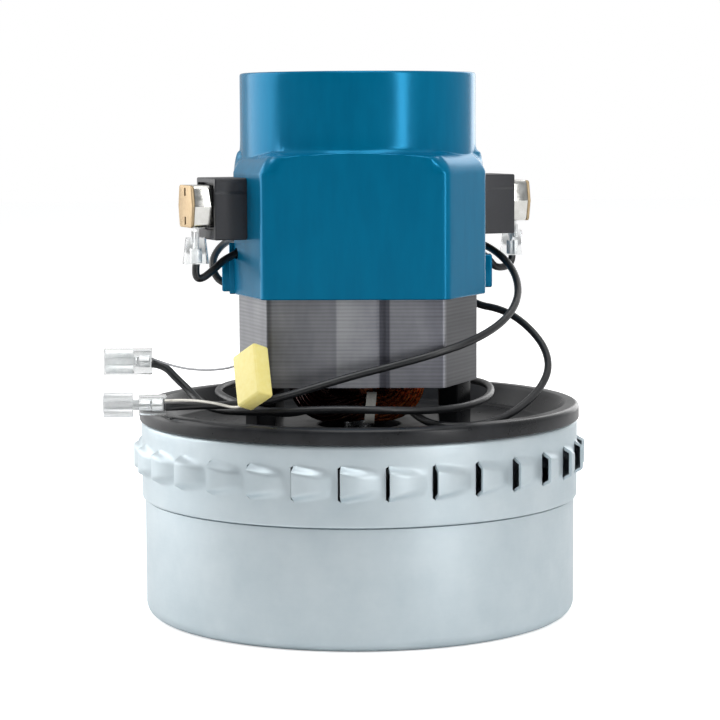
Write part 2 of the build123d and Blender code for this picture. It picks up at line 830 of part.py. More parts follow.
# Shaft, stepped for the fans, the lower bearing, the core and the upper bearing
bearing_seat_top = lower_bearing_bottom + lower_bearing_height
core_shaft_top = upper_bearing_bottom - shaft_step_gap
with BuildPart() as shaft:
    with BuildSketch(Plane.XZ):
        Polygon(
            (0, shaft_tip),
            (fan_shaft_radius, shaft_tip),
            (fan_shaft_radius, lower_bearing_bottom),
            (bearing_shaft_radius, lower_bearing_bottom),
            (bearing_shaft_radius, bearing_seat_top),
            (core_shaft_radius, bearing_seat_top),
            (core_shaft_radius, core_shaft_top),
            (fan_shaft_radius, core_shaft_top),
            (fan_shaft_radius, shaft_end),
            (0, shaft_end),
            align=None,
        )
    revolve(axis=Axis.Z)
finish(shaft, "shaft")

faceted_ring("lower_bearing", lower_bearing_radius, bearing_shaft_radius + running_gap,
             lower_bearing_bottom, lower_bearing_height, bearing_sides)
faceted_ring("upper_bearing", upper_bearing_radius, fan_shaft_radius + running_gap,
             upper_bearing_bottom, upper_bearing_height, bearing_sides)

# Armature: slotted core, winding through the slots with a head at each end, and commutator
core_bottom = stator_bottom - core_overhang
core_top = stator_top + core_overhang
slot_fill = slot_depth - winding_step
slot_fill_middle = core_radius - winding_step - slot_fill / 2
head_radius = core_radius - winding_step
commutator_start = core_top + winding_height + commutator_gap
with BuildPart() as armature_core:
    with BuildSketch(Plane.XY.offset(core_bottom)):
        Circle(core_radius)
        Circle(core_shaft_radius, mode=Mode.SUBTRACT)
        with PolarLocations(core_radius, slot_count):
            Rectangle(2 * slot_depth, slot_width, mode=Mode.SUBTRACT)
    extrude(amount=core_top - core_bottom)
finish(armature_core, "armature_core")

with BuildPart() as armature_winding:
    with BuildSketch(Plane.XY.offset(core_bottom)):
        with PolarLocations(slot_fill_middle, slot_count):
            Rectangle(slot_fill - 2 * seat_gap, slot_width - 2 * seat_gap)
    extrude(amount=core_top - core_bottom)
    for start, way in ((core_bottom, -1), (core_top, 1)):
        with BuildSketch(Plane.XY.offset(start)):
            RegularPolygon(head_radius, slot_count)
        extrude(amount=way * winding_height / 2)
        with BuildSketch(Plane.XY.offset(start + way * winding_height / 2)):
            RegularPolygon(head_radius - winding_shoulder, slot_count)
        extrude(amount=way * winding_height / 2)
    with BuildSketch(Plane.XY.offset(core_bottom - winding_height)):
        RegularPolygon(core_shaft_radius, facet_count, major_radius=False)
    extrude(amount=core_top - core_bottom + 2 * winding_height, mode=Mode.SUBTRACT)
finish(armature_winding, "armature_winding")

with BuildPart() as commutator:
    with BuildSketch(Plane.XY.offset(commutator_start)):
        RegularPolygon(riser_radius, bar_count)
    extrude(amount=riser_height)
    with BuildSketch(Plane.XY.offset(commutator_start)):
        RegularPolygon(commutator_radius, bar_count)
    extrude(amount=commutator_top - commutator_start)
    with BuildSketch(Plane.XY.offset(commutator_start)):
        RegularPolygon(core_shaft_radius, facet_count, major_radius=False)
    extrude(amount=commutator_top - commutator_start, mode=Mode.SUBTRACT)
finish(commutator, "commutator")

# Fan stages: two bladed wheels with a plate between them that leads the air back to the axis


def blade_line(inner, outer, sweep_degrees):
    """Curved centre line of a blade from the inner to the outer radius."""
    turn = radians(sweep_degrees)
    return (inner, 0), (outer * cos(turn), outer * sin(turn))


def impeller(name, bottom):
    """Eye plate, backward curved blades and hub plate of one fan wheel, riveted to one piece."""
    back = bottom + impeller_height
    start, end = blade_line(blade_inner_radius, impeller_radius - blade_thickness, -blade_sweep)
    with BuildPart() as wheel:
        with BuildLine() as blade:
            RadiusArc(start, end, impeller_radius * blade_curve_share)
        with BuildSketch(Plane.XY.offset(bottom)):
            with PolarLocations(0, impeller_blades):
                trace(blade.line, line_width=blade_thickness)
        extrude(amount=back - bottom)
        with BuildSketch(Plane.XY.offset(bottom)):
            RegularPolygon(impeller_radius, impeller_sides)
            RegularPolygon(impeller_eye_radius, impeller_sides, mode=Mode.SUBTRACT)
        extrude(amount=impeller_sheet)
        with BuildSketch(Plane.XY.offset(back)):
            RegularPolygon(impeller_radius, impeller_sides)
            RegularPolygon(fan_shaft_radius, facet_count, major_radius=False, mode=Mode.SUBTRACT)
        extrude(amount=impeller_sheet)
    finish(wheel, name)


impeller("first_impeller", first_impeller_bottom)
impeller("second_impeller", second_impeller_bottom)

stage_plate_top = stage_plate_bottom + stage_plate_height
baffle_hole = spacer_radius + baffle_gap
with BuildPart() as stage_plate:
    vane_start, vane_end = blade_line(vane_inner_radius, vane_outer_radius, vane_sweep)
    with BuildLine() as vane:
        RadiusArc(vane_start, vane_end, -vane_outer_radius * blade_curve_share)
    with BuildSketch(Plane.XY.offset(stage_plate_bottom)):
        with PolarLocations(0, vane_count):
            trace(vane.line, line_width=vane_thickness)
    extrude(amount=stage_plate_height)
    with BuildSketch(Plane.XY.offset(stage_plate_bottom)):
        RegularPolygon(vane_outer_radius, impeller_sides)
        RegularPolygon(baffle_hole, facet_count, mode=Mode.SUBTRACT)
    extrude(amount=sheet)
    with BuildSketch(Plane.XY.offset(stage_plate_top - sheet)):
        Circle(can_radius - sheet - seat_gap)
        RegularPolygon(stage_eye_radius, impeller_sides, mode=Mode.SUBTRACT)
    extrude(amount=sheet)
finish(stage_plate, "stage_plate")

first_back = first_impeller_bottom + impeller_height
second_back = second_impeller_bottom + impeller_height
faceted_ring("stage_spacer", spacer_radius, fan_shaft_radius, first_back + impeller_sheet,
     second_back - first_back - impeller_sheet)
faceted_ring("bearing_spacer", spacer_radius, fan_shaft_radius, second_back + impeller_sheet,
     lower_bearing_bottom - second_back - impeller_sheet)
faceted_ring("impeller_washer", washer_radius, fan_shaft_radius, first_back - washer_thickness, washer_thickness)

# Cooling fan in the neck, pressed on the top of the shaft
fan_middle = cooling_fan_bottom + cooling_fan_height / 2
with BuildPart() as cooling_fan:
    with BuildSketch(Plane.XY.offset(cooling_fan_bottom)):
        RegularPolygon(cooling_hub_radius, facet_count)
    extrude(amount=cooling_fan_height)
    for blade_number in range(cooling_blades):
        turn = radians(blade_number * 360 / cooling_blades)
        root = cooling_hub_radius - cooling_blade_thickness
        origin = (root * cos(turn), root * sin(turn), fan_middle)
        with BuildSketch(Plane(origin, x_dir=(-sin(turn), cos(turn), 0), z_dir=(cos(turn), sin(turn), 0))):
            Rectangle(cooling_blade_chord, cooling_blade_thickness, rotation=cooling_blade_pitch)
        extrude(amount=cooling_fan_radius - root)
    with BuildSketch(Plane.XY.offset(cooling_fan_bottom)):
        RegularPolygon(fan_shaft_radius, facet_count, major_radius=False)
    extrude(amount=cooling_fan_height, mode=Mode.SUBTRACT)
finish(cooling_fan, "cooling_fan")

# Hexagon nuts on both ends of the shaft
nut_bottoms = (
    ("impeller_nut", first_back - washer_thickness - nut_height),
    ("cooling_fan_nut", cooling_fan_bottom + cooling_fan_height),
)
for nut_name, nut_bottom in nut_bottoms:
    with BuildPart() as nut:
        with BuildSketch(Plane.XY.offset(nut_bottom)):
            RegularPolygon(nut_radius, nut_sides)
            RegularPolygon(fan_shaft_radius, facet_count, major_radius=False, mode=Mode.SUBTRACT)
        extrude(amount=nut_height)
    finish(nut, nut_name)

# Leads: each free route is a list of places chosen by hand, joined by arcs as large as fit


def corner_radii(points):
    """The largest tangent arc at each inner point of a route."""
    vectors = [Vector(*point) for point in points]
    radii = []
    for before, here, after in zip(vectors, vectors[1:], vectors[2:]):
        run_in = here - before
        run_out = after - here
        half_turn = radians(run_in.get_angle(run_out)) / 2
        radii.append(arc_share * min(run_in.length, run_out.length) / tan(half_turn))
    return radii


def lead(name, points, diameter, sides):
    """Sweep a round or faceted wire along a route of straight runs and tangent arcs."""
    radii = corner_radii(points)
    start = Vector(*points[0])
    heading = Vector(*points[1]) - start
    with BuildPart() as wire:
        with BuildLine() as route:
            FilletPolyline(*points, radius=radii)
        with BuildSketch(Plane(start, z_dir=heading)):
            RegularPolygon(diameter / 2, sides)
        sweep(path=route.line)
    length = sum(edge.length for edge in route.edges())
    section = sides / 2 * (diameter / 2) ** 2 * sin(radians(360 / sides))
    share = wire.part.volume / (section * length)
    print(name, "length", round(length, 1), "volume share", round(share, 4))
    print("  radii", [round(radius, 1) for radius in radii])
    return wire


routes = {
    "supply_lead_lower": [
        (-62.3, -38.0, 73.1), (-57.5, -39.2, 73.5), (-49.5, -43.6, 74.3), (-40.0, -48.5, 75.0), (-28.0, -51.0, 76.6),
        (-15.0, -49.5, 80.3), (-2.8, -46.5, 83.6), (10.0, -44.5, 86.6), (24.0, -43.0, 90.2),
        (36.0, -36.5, 93.6), (45.5, -25.0, 97.6), (51.5, -12.0, 102.3), (54.0, 0.0, 108.0),
        (52.2, 10.5, 114.8), (45.8, 20.5, 120.7), (38.5, 32.5, 122.8), (28.0, 43.5, 123.6),
        (12.0, 46.0, 123.0), (-4.0, 45.6, 123.6), (-21.5, 45.0, 122.6), (-35.8, 38.6, 123.4),
        (-42.8, 25.5, 123.9), (-46.6, 13.0, 122.6), (-49.4, 5.0, 118.0), (-48.6, 0.9, 113.4),
        (-45.6, 0.1, 110.1), (-41.6, 0.3, 109.8),
    ],
    "supply_lead_upper": [
        (-68.0, -20.0, 85.3), (-64.0, -20.1, 84.9), (-60.0, -20.8, 80.6), (-55.5, -22.3, 76.6), (-51.5, -28.5, 73.2),
        (-45.5, -38.0, 72.0), (-35.0, -46.0, 72.4), (-22.0, -50.5, 73.2), (-8.0, -52.0, 73.9),
        (7.0, -51.0, 73.4), (21.0, -45.0, 72.4), (33.0, -34.0, 72.0), (41.5, -19.0, 72.6),
        (44.6, -4.0, 73.8), (44.0, 11.0, 74.6), (38.5, 26.0, 74.4), (27.0, 38.0, 74.0),
        (11.0, 45.0, 73.5), (-7.0, 45.8, 73.3), (-24.0, 40.5, 73.8), (-37.5, 29.0, 74.1),
        (-45.0, 14.5, 74.4), (-48.0, -1.0, 74.2), (-45.0, -14.0, 73.4), (-38.0, -24.5, 72.0),
        (-29.0, -32.5, 70.6), (-20.5, -34.6, 70.4), (-16.3, -31.4, 71.4),
    ],
    "coil_link_lead": [
        (37.0, 22.2, 107.3), (37.6, 22.6, 103.2), (41.6, 20.6, 100.8), (47.5, 17.0, 100.0),
        (53.5, 12.0, 97.6), (59.5, 5.0, 92.5), (63.0, -1.5, 87.0), (63.3, -9.0, 81.5),
        (60.0, -17.0, 76.5), (54.5, -26.0, 72.5), (48.5, -34.0, 69.5), (40.5, -40.0, 67.3),
        (30.0, -41.0, 66.6), (21.0, -37.5, 67.6), (17.5, -31.9, 70.2),
    ],
    "left_brush_lead": [
        (-52.9, -21.4, 118.2), (-53.4, -21.8, 114.2), (-51.4, -20.6, 112.8), (-46.9, -17.2, 116.4),
        (-43.6, -15.3, 119.6), (-39.4, -13.6, 121.2),
    ],
    "right_brush_lead": [
        (52.9, 21.4, 118.2), (52.9, 21.0, 114.6), (47.0, 16.6, 113.7), (44.4, 16.0, 117.4),
        (39.4, 13.6, 121.2),
    ],
}
for lead_name, route_points in routes.items():
    finish(lead(lead_name, route_points, lead_diameter, lead_sides), lead_name)

# Spade terminals in their clear covers, at the free ends of the two supply leads
spade_ends = (
    ("lower", (-62.6, -38.0, 73.9), 6.4, -0.7, 8.6, 6.6),
    ("upper", (-68.3, -20.0, 86.1), 1.9, -0.4, 15.6, 8.6),
)
for side_name, spot, spade_neck, cover_start, cover_length, cover_width in spade_ends:
    away = Plane(spot, x_dir=(0, 1, 0), z_dir=(-1, 0, 0))
    spade_start = spade_crimp_length + spade_neck
    with BuildPart() as spade:
        with BuildSketch(away):
            RegularPolygon(spade_crimp_radius, screw_sides)
        extrude(amount=spade_crimp_length)
        with BuildSketch(away.offset(spade_crimp_length)):
            Rectangle(spade_thickness, 2 * spade_crimp_radius - spade_roll)
        extrude(amount=spade_neck)
        with BuildSketch(away.offset(spade_start)):
            Rectangle(spade_thickness, spade_width)
            with Locations((0, (spade_width - spade_roll) / 2), (0, (spade_roll - spade_width) / 2)):
                RegularPolygon(spade_roll / 2, lead_sides)
        extrude(amount=spade_length)
    finish(spade, side_name + "_spade_terminal")
    with BuildPart() as cover:
        with BuildSketch(away.offset(cover_start)) as cover_outline:
            Rectangle(cover_height, cover_width)
            chamfer(cover_outline.vertices(), cover_bevel)
            offset(amount=-cover_wall, mode=Mode.SUBTRACT)
        extrude(amount=cover_length)
    finish(cover, side_name + "_spade_cover")

# Suppression capacitor, hung by its two wires from the crimps
capacitor_plane = Plane(capacitor_place, x_dir=capacitor_across, z_dir=capacitor_through)
with BuildPart() as capacitor:
    with BuildSketch(capacitor_plane):
        Rectangle(capacitor_width, capacitor_length, align=(Align.MIN, Align.MIN))
    extrude(amount=capacitor_thickness)
    chamfer(capacitor.edges(), capacitor_edge)
finish(capacitor, "capacitor")

capacitor_exits = [
    capacitor_plane.from_local_coords((0, inset, capacitor_thickness / 2))
    for inset in (capacitor_lead_inset, capacitor_length - capacitor_lead_inset)
]
capacitor_stubs = [
    capacitor_plane.from_local_coords((-capacitor_lead_stub, inset, capacitor_thickness / 2))
    for inset in (capacitor_lead_inset, capacitor_length - capacitor_lead_inset)
]
wire_routes = (
    ("capacitor_wire_upper", [capacitor_exits[0], capacitor_stubs[0], (-49.0, -39.5, 84.0),
                              (-60.0, -27.5, 84.8), (-67.8, -20.2, 87.0)]),
    ("capacitor_wire_lower", [capacitor_exits[1], capacitor_stubs[1], (-45.5, -51.0, 76.0),
                              (-55.0, -43.5, 76.2), (-62.1, -38.2, 75.2)]),
)
for wire_name, wire_points in wire_routes:
    finish(lead(wire_name, wire_points, 2 * capacitor_lead_radius, wire_sides), wire_name)
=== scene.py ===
# %% [markdown]
# # A two-stage vacuum motor, dressed round its CAD frame
# The CAD model fixes every place and size. This lesson gives the motor its looks: pressed
# louvres, moulded edges, copper strands, soft leads and a finish for each material.
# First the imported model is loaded, because every later piece is placed from it.

from math import atan2, cos, hypot, pi, radians, sin, tan

import bmesh
import bpy
from mathutils import Matrix, Vector


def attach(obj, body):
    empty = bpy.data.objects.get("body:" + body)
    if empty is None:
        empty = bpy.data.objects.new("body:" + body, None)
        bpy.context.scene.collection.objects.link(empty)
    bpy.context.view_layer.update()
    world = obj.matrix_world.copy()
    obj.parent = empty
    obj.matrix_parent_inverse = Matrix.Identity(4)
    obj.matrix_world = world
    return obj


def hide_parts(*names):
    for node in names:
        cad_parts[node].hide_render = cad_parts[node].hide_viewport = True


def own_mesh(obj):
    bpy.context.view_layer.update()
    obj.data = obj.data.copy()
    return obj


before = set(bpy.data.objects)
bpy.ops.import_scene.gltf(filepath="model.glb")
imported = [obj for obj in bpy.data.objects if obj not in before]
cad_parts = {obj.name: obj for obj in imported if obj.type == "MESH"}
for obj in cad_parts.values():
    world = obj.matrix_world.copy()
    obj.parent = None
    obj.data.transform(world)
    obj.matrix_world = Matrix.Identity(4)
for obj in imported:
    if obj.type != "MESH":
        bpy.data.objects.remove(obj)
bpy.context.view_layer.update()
MM = 0.001

# %% [markdown]
# The photograph was taken from 0.78 m away, a hand above the middle of the motor, with a
# long lens. A 116 mm lens on a 36 mm sensor gives the same perspective. The picture leans
# a third of a degree, so the camera is rolled by that much.

# %% Camera
def add_object(name, data):
    """An object of the scene that shows a mesh, curve, lamp or camera."""
    thing = bpy.data.objects.new(name, data)
    bpy.context.collection.objects.link(thing)
    return thing


CAMERA_PLACE = (0.35 * MM, -777 * MM, 164.4 * MM)
CAMERA_TILT, CAMERA_ROLL = radians(84.1), radians(-0.29)
camera = add_object("photo_camera", bpy.data.cameras.new("photo_camera"))
camera.data.sensor_width = 36
camera.data.lens = 116
camera.data.clip_end = 50
tilt = Matrix.Rotation(CAMERA_TILT, 4, "X")
roll = Matrix.Rotation(CAMERA_ROLL, 4, "Z")
camera.matrix_world = Matrix.Translation(CAMERA_PLACE) @ tilt @ roll
bpy.context.scene.camera = camera
bpy.context.scene.view_settings.view_transform = "Standard"
print("camera at", [round(value, 3) for value in camera.location])

# %% [markdown]
# Colours are written as the hex values a screen shows. Blender mixes light in linear values,
# so one function turns hex to linear. One more adds a node with its settings and links.

# %% Colour and node helpers
def linear(hex_text):
    """Linear colour, with full alpha, of an sRGB hex value."""
    parts = [int(hex_text[start:start + 2], 16) / 255 for start in (1, 3, 5)]
    parts = [p / 12.92 if p <= 0.04045 else ((p + 0.055) / 1.055) ** 2.4 for p in parts]
    return (*parts, 1.0)


def add_node(tree, kind, settings=None, links=None):
    """Add a node. Settings name its inputs, its own options or the stops of its ramp, and
    links name the sockets fed to it."""
    node = tree.nodes.new(kind)
    for name, value in (settings or {}).items():
        if name == "stops":
            ramp = node.color_ramp.elements
            while len(ramp) < len(value):
                ramp.new(0.5)
            for stop, (position, colour) in zip(ramp, value):
                stop.position = position
                stop.color = linear(colour)
        elif isinstance(name, str) and hasattr(node, name):
            setattr(node, name, value)
        else:
            node.inputs[name].default_value = value
    for name, socket in (links or {}).items():
        tree.links.new(socket, node.inputs[name])
    return node


print("teal in linear light:", [round(value, 3) for value in linear("#00688C")])

# %% [markdown]
# Every finish here starts the same way: a Principled shader fed by Object coordinates, which
# are metres in the motor's own frame, so a pattern's size can be given in millimetres. The
# pattern is noise from `spots`. Its grain is a real length: a noise whose scale is one over
# that length has spots of about that size. `dress` lets one pattern move the colour between
# two hex values, one move the roughness, and one stand up as relief.

# %% Start of a finish, its pattern and its dress
EVEN = (1, 1, 1)
SPAN = ("From Min", "From Max", "To Min", "To Max")
MIDDLE = (0.3, 0.7)


def start_finish(name, **sockets):
    """A material with a Principled shader whose sockets are set, and its Object coordinates."""
    material = bpy.data.materials.new(name)
    material.use_nodes = True
    tree = material.node_tree
    tree.nodes.clear()
    place = add_node(tree, "ShaderNodeTexCoord").outputs["Object"]
    shader = add_node(tree, "ShaderNodeBsdfPrincipled",
                      {key.replace("_", " "): value for key, value in sockets.items()})
    add_node(tree, "ShaderNodeOutputMaterial", links={"Surface": shader.outputs["BSDF"]})
    return material, tree, shader, place


def spots(tree, place, grain, stretch=EVEN, detail=4, roughness=0.6):
    """Noise from 0 to 1 with spots of a size in millimetres, stretched by a factor per axis."""
    scaled = add_node(tree, "ShaderNodeMapping", {"Scale": [1 / factor for factor in stretch]},
                      {"Vector": place})
    return add_node(tree, "ShaderNodeTexNoise",
                    {"Scale": 1 / (grain * MM), "Detail": detail, "Roughness": roughness},
                    {"Vector": scaled.outputs["Vector"]}).outputs["Fac"]


def dress(tree, shader, colours, gloss, tone, polish, marks, depth, stops=MIDDLE, layers=()):
    """Colour that follows tone, roughness that follows polish, and relief from marks with a
    depth in millimetres. Each layer is multiplied into the colour."""
    colour = add_node(tree, "ShaderNodeValToRGB", {"stops": list(zip(stops, colours))},
                      {"Fac": tone}).outputs["Color"]
    for layer in layers:
        colour = add_node(tree, "ShaderNodeMix",
                          {"data_type": "RGBA", "blend_type": "MULTIPLY", 0: 1.0},
                          {6: colour, 7: layer}).outputs[2]
    rough = add_node(tree, "ShaderNodeMapRange", dict(zip(SPAN, MIDDLE + gloss)),
                     {"Value": polish})
    tree.links.new(colour, shader.inputs["Base Color"])
    tree.links.new(rough.outputs["Result"], shader.inputs["Roughness"])
    if depth:
        bump = add_node(tree, "ShaderNodeBump", {"Distance": depth * MM, "Strength": 1.0},
                        {"Height": marks})
        tree.links.new(bump.outputs["Normal"], shader.inputs["Normal"])


def plain_finish(name, dark, light, gloss, tone, depth, polish=None, marks=None, **sockets):
    """A finish whose patterns are all noise, each given as its grain, stretch and detail."""
    material, tree, shader, place = start_finish(name, **sockets)
    tone = spots(tree, place, *tone)
    polish = spots(tree, place, *polish) if polish else tone
    marks = spots(tree, place, *marks) if marks else polish
    dress(tree, shader, (dark, light), gloss, tone, polish, marks, depth)
    return material


print("finish helpers ready")

# %% [markdown]
# ## Sheet steel, paint and moulded plastic
# The casing is zinc-plated, deep-drawn steel sheet. Zinc gives a pale blue-grey metal with a
# satin gloss. Drawing leaves faint marks that run round it, and handling leaves cloudy spots,
# so the colour and the gloss vary over centimetres and fine lines run round the axis.

# %% Zinc-plated steel sheet
CLOUDS = (16,)
DRAWN = (0.5, (22, 22, 1), 3)
casing_steel = plain_finish("zinc_plated_drawn_steel", "#C6D3D9", "#D2DDE2", (0.42, 0.5),
                            CLOUDS, 0.004, polish=DRAWN, Metallic=0.55)
dull_zinc = plain_finish("dull_zinc_screw_steel", "#9FA6AA", "#B7BDC0", (0.34, 0.5),
                         CLOUDS, 0.004, polish=DRAWN, Metallic=0.55)

# %% Black stove enamel on the bracket
# A baked black enamel: nearly black, with a hard clear gloss on the rim. Inside the rim and on
# the pillars it is duller, so two masks lower its gloss: one by the distance from the axis, one
# by the height. The height mask also paints shade on the pillars, which stand in the shade of
# the motor: their colour is made darker.
bracket_black, tree, shader, place = start_finish("black_stove_enamel")
flow = spots(tree, place, 9, EVEN, 3)
height = add_node(tree, "ShaderNodeSeparateXYZ", links={"Vector": place}).outputs["Z"]
level_place = add_node(tree, "ShaderNodeVectorMath", {"operation": "MULTIPLY", 1: (1, 1, 0)},
                       {0: place})
reach = add_node(tree, "ShaderNodeVectorMath", {"operation": "LENGTH"},
                 {0: level_place.outputs["Vector"]})
pillar_dulling_and_painted_shade = add_node(tree, "ShaderNodeMapRange",
                         dict(zip(SPAN, (0.0705, 0.0715, 1.0, 0.2))), {"Value": height})
on_the_rim = add_node(tree, "ShaderNodeMapRange", dict(zip(SPAN, (0.068, 0.0695, 0.12, 0.3))),
                      {"Value": reach.outputs["Value"]})
gloss_level = add_node(tree, "ShaderNodeMath", {"operation": "MULTIPLY"},
                       {0: pillar_dulling_and_painted_shade.outputs["Result"], 1: on_the_rim.outputs["Result"]})
# Painted shade: the height mask darkens the colour on the pillars.
tone_and_painted_shade = add_node(tree, "ShaderNodeMath", {"operation": "MULTIPLY"},
                 {0: flow, 1: pillar_dulling_and_painted_shade.outputs["Result"]})
tree.links.new(gloss_level.outputs["Value"], shader.inputs["Specular IOR Level"])
dress(tree, shader, ("#0E0F10", "#2A2B2E"), (0.26, 0.34), tone_and_painted_shade.outputs["Value"], flow,
      spots(tree, place, 1.6, EVEN, 2), 0.006, (0.1, 0.7))

# %% Teal moulded polyester
# Glass-filled polyester for motor housings: a strong teal with a smooth moulded gloss. The
# glass fibres leave faint flow streaks along the mould.
teal_moulding = plain_finish("teal_moulded_polyester", "#00719A", "#0077A0", (0.2, 0.25),
                             (3.5, (1, 1, 5), 3), 0.004, marks=(2.4, EVEN, 2),
                             Specular_IOR_Level=0.14, Metallic=0.28)

# %% Black moulded phenolic
# Brush holders are phenolic resin: dark charcoal, duller than enamel, with a fine mould grain.
phenolic_black = plain_finish("black_moulded_phenolic", "#1E1F24", "#26272D", (0.38, 0.5),
                              (0.6, EVEN, 3), 0.01, IOR=1.6)

# %% [markdown]
# ## Metals
# A metal keeps the default IOR. What changes from one to the next is its colour, how rough
# its surface is, and which way the marks of its making run.

# %% Laminated electrical steel
# The stack is some seventy sheets of 0.5 mm, which are finer than a pixel here, so the lines
# are drawn at about 1 mm. They run level all round, and each sheet is a little lighter or
# darker than the next. Varnish leaves dull blotches several millimetres wide. Upright bands run
# down the front flat: a lighter land, a dark band painted as the shade in the weld groove right
# of it, painted shade down the left corner and a painted highlight down the right corner. They
# are a ramp over X, in millimetres from the axis.
DIE_REACH = 40
# Stops in millimetres: painted shade at the left corner and in the weld groove, a lighter land left
# of the groove, and a painted highlight at the right corner.
FRONT_BANDS_AND_PAINTED_LIGHT = [(-31.0, "#D0D0D0"), (-29.7, "#D0D0D0"), (-29.3, "#8F8F8F"), (-28.3, "#A4A4A4"),
             (-27.6, "#CFCFCF"), (-26.9, "#D0D0D0"), (-7.4, "#D2D2D6"), (-6.9, "#FFFFFF"),
             (6.4, "#F4F4F8"), (6.7, "#8F8F98"), (9.7, "#8B8B94"), (10.1, "#DDDDE0"),
             (27.0, "#CFCFD6"), (27.5, "#FFFFFF"), (28.2, "#A5A5A5")]
lamination_steel, tree, shader, place = start_finish("laminated_electrical_steel", Metallic=0.75)
uneven = spots(tree, place, 0.8, (60, 60, 1), 2, 0.8)
blotches = spots(tree, place, 9, (1, 1, 3), 3)
lines = add_node(tree, "ShaderNodeTexWave", {"bands_direction": "Z", "Scale": 262,
                                             "Distortion": 0.6, "Detail": 1.0}, {"Vector": place})
soft_lines = add_node(tree, "ShaderNodeMapRange", dict(zip(SPAN, (0.0, 1.0, 0.14, 0.36))),
                      {"Value": lines.outputs["Fac"]})
sheets = add_node(tree, "ShaderNodeMath", {"operation": "MULTIPLY_ADD", 1: 0.5},
                  {0: uneven, 2: soft_lines.outputs["Result"]}).outputs["Value"]
varnish = add_node(tree, "ShaderNodeValToRGB",
                   {"stops": list(zip(MIDDLE, ("#D8D8DC", "#FFFFFF")))}, {"Fac": blotches})
across = add_node(tree, "ShaderNodeSeparateXYZ", links={"Vector": place}).outputs["X"]
across_share = add_node(tree, "ShaderNodeMapRange",
                        dict(zip(SPAN, (-DIE_REACH * MM, DIE_REACH * MM, 0, 1))),
                        {"Value": across})
# The bands' colour, with its painted shade and painted highlight, is multiplied into the steel.
front_bands_and_painted_light = add_node(tree, "ShaderNodeValToRGB", {"stops": [
    (0.5 + x / (2 * DIE_REACH), colour) for x, colour in FRONT_BANDS_AND_PAINTED_LIGHT
]}, {"Fac": across_share.outputs["Result"]})
dress(tree, shader, ("#A0A1A4", "#BCBDC0"), (0.36, 0.48), sheets, blotches, sheets, 0.02,
      layers=(varnish.outputs["Color"], front_bands_and_painted_light.outputs["Color"]))

# %% Plain metals
# One row each: colours, range of roughness, grain in millimetres, depth of its marks and how
# metallic it is. Hot-dipped tin is dull and white, so its row is less metallic.
METALS = {
    "nickel_plated_brass": ("#DAD9D3", "#EDECE8", (0.16, 0.26), 2.0, 0.003, 1.0),
    "pale_rolled_brass": ("#B59C79", "#C9B492", (0.42, 0.55), 1.2, 0.004, 1.0),
    "tinned_brass_strip": ("#EDEFF0", "#F8F9F9", (0.36, 0.5), 1.5, 0.004, 0.4),
    "ground_shaft_steel": ("#B4B6B8", "#C8CACC", (0.18, 0.3), 0.8, 0.002, 1.0),
    "hardened_bearing_steel": ("#A9ABAE", "#BFC1C4", (0.16, 0.24), 1.0, 0.002, 1.0),
    "blued_spring_steel": ("#6F7175", "#85888C", (0.28, 0.4), 0.8, 0.002, 1.0),
    "spun_sheet_aluminium": ("#C9CBCC", "#DADCDD", (0.3, 0.44), 1.4, 0.004, 1.0),
    "turned_commutator_copper": ("#A9623C", "#C07A4E", (0.26, 0.42), 0.9, 0.004, 1.0),
}
metals = {name: plain_finish(name, dark, light, gloss, (grain, EVEN, 5), depth, Metallic=metallic)
          for name, (dark, light, gloss, grain, depth, metallic) in METALS.items()}
print(len(metals), "plain metals")

# %% Tinned copper wire
# The capacitor's wires are hot-dipped in tin. They are bright below, as painted light, and greyer
# towards the top.
tinned_wire, tree, shader, place = start_finish("tinned_copper_wire", Metallic=0.6, Roughness=0.4)
wire_height = add_node(tree, "ShaderNodeSeparateXYZ", links={"Vector": place}).outputs["Z"]
# Painted light: the wire's colour is bright low down and grey higher up.
painted_light_by_height = add_node(tree, "ShaderNodeMapRange", dict(zip(SPAN, (0.077, 0.082, 0, 1))),
                  {"Value": wire_height})
tin = add_node(tree, "ShaderNodeValToRGB", {"stops": [(0, "#E2DFD6"), (1, "#97989B")]},
               {"Fac": painted_light_by_height.outputs["Result"]})
tree.links.new(tin.outputs["Color"], shader.inputs["Base Color"])

# %% Enamelled copper wire
# Magnet wire is copper under a red-brown varnish, and the metal shines through in orange. Its
# colour is painted light to the right, where light reaches the coil, and painted shade to the left.
enamelled_copper, tree, shader, place = start_finish(
    "enamelled_copper_wire", Metallic=0.85, Coat_Weight=0.5, Coat_Roughness=0.15)
varnish_spots = spots(tree, place, 1.2, EVEN, 3)
across = add_node(tree, "ShaderNodeSeparateXYZ", links={"Vector": place}).outputs["X"]
# Painted light and shade: the colour goes from dark on the left to bright on the right.
painted_light_across_coil = add_node(tree, "ShaderNodeMapRange",
                       dict(zip(SPAN, (-0.006, 0.018, 0.3, 1.35))), {"Value": across})
spots_and_painted_light = add_node(tree, "ShaderNodeMath", {"operation": "MULTIPLY"},
                {0: varnish_spots, 1: painted_light_across_coil.outputs["Result"]})
dress(tree, shader, ("#2E0C07", "#F08748"), (0.2, 0.34), spots_and_painted_light.outputs["Value"], varnish_spots,
      None, 0, (0.25, 0.85))

# %% [markdown]
# ## Insulation
# The leads wear soft black PVC: smooth, with a broad grey sheen where it faces the light.
# The spade covers and terminal sleeves are clear vinyl, modelled with their real wall, so
# light bends through two thin skins. Paper, tape and film are the matt, pale materials.

# %% Leads and clear covers
lead_insulation = plain_finish("black_pvc_insulation", "#131416", "#1E2023", (0.34, 0.5), (2.4,),
                               0.01, marks=(0.5, EVEN, 2), IOR=1.53, Coat_Weight=0.15,
                               Coat_Roughness=0.3)
clear_vinyl = plain_finish("clear_vinyl_sleeve", "#F4F6F6", "#FFFFFF", (0.04, 0.16),
                           (3.0, EVEN, 2), 0.05, Transmission_Weight=1.0, IOR=1.16)

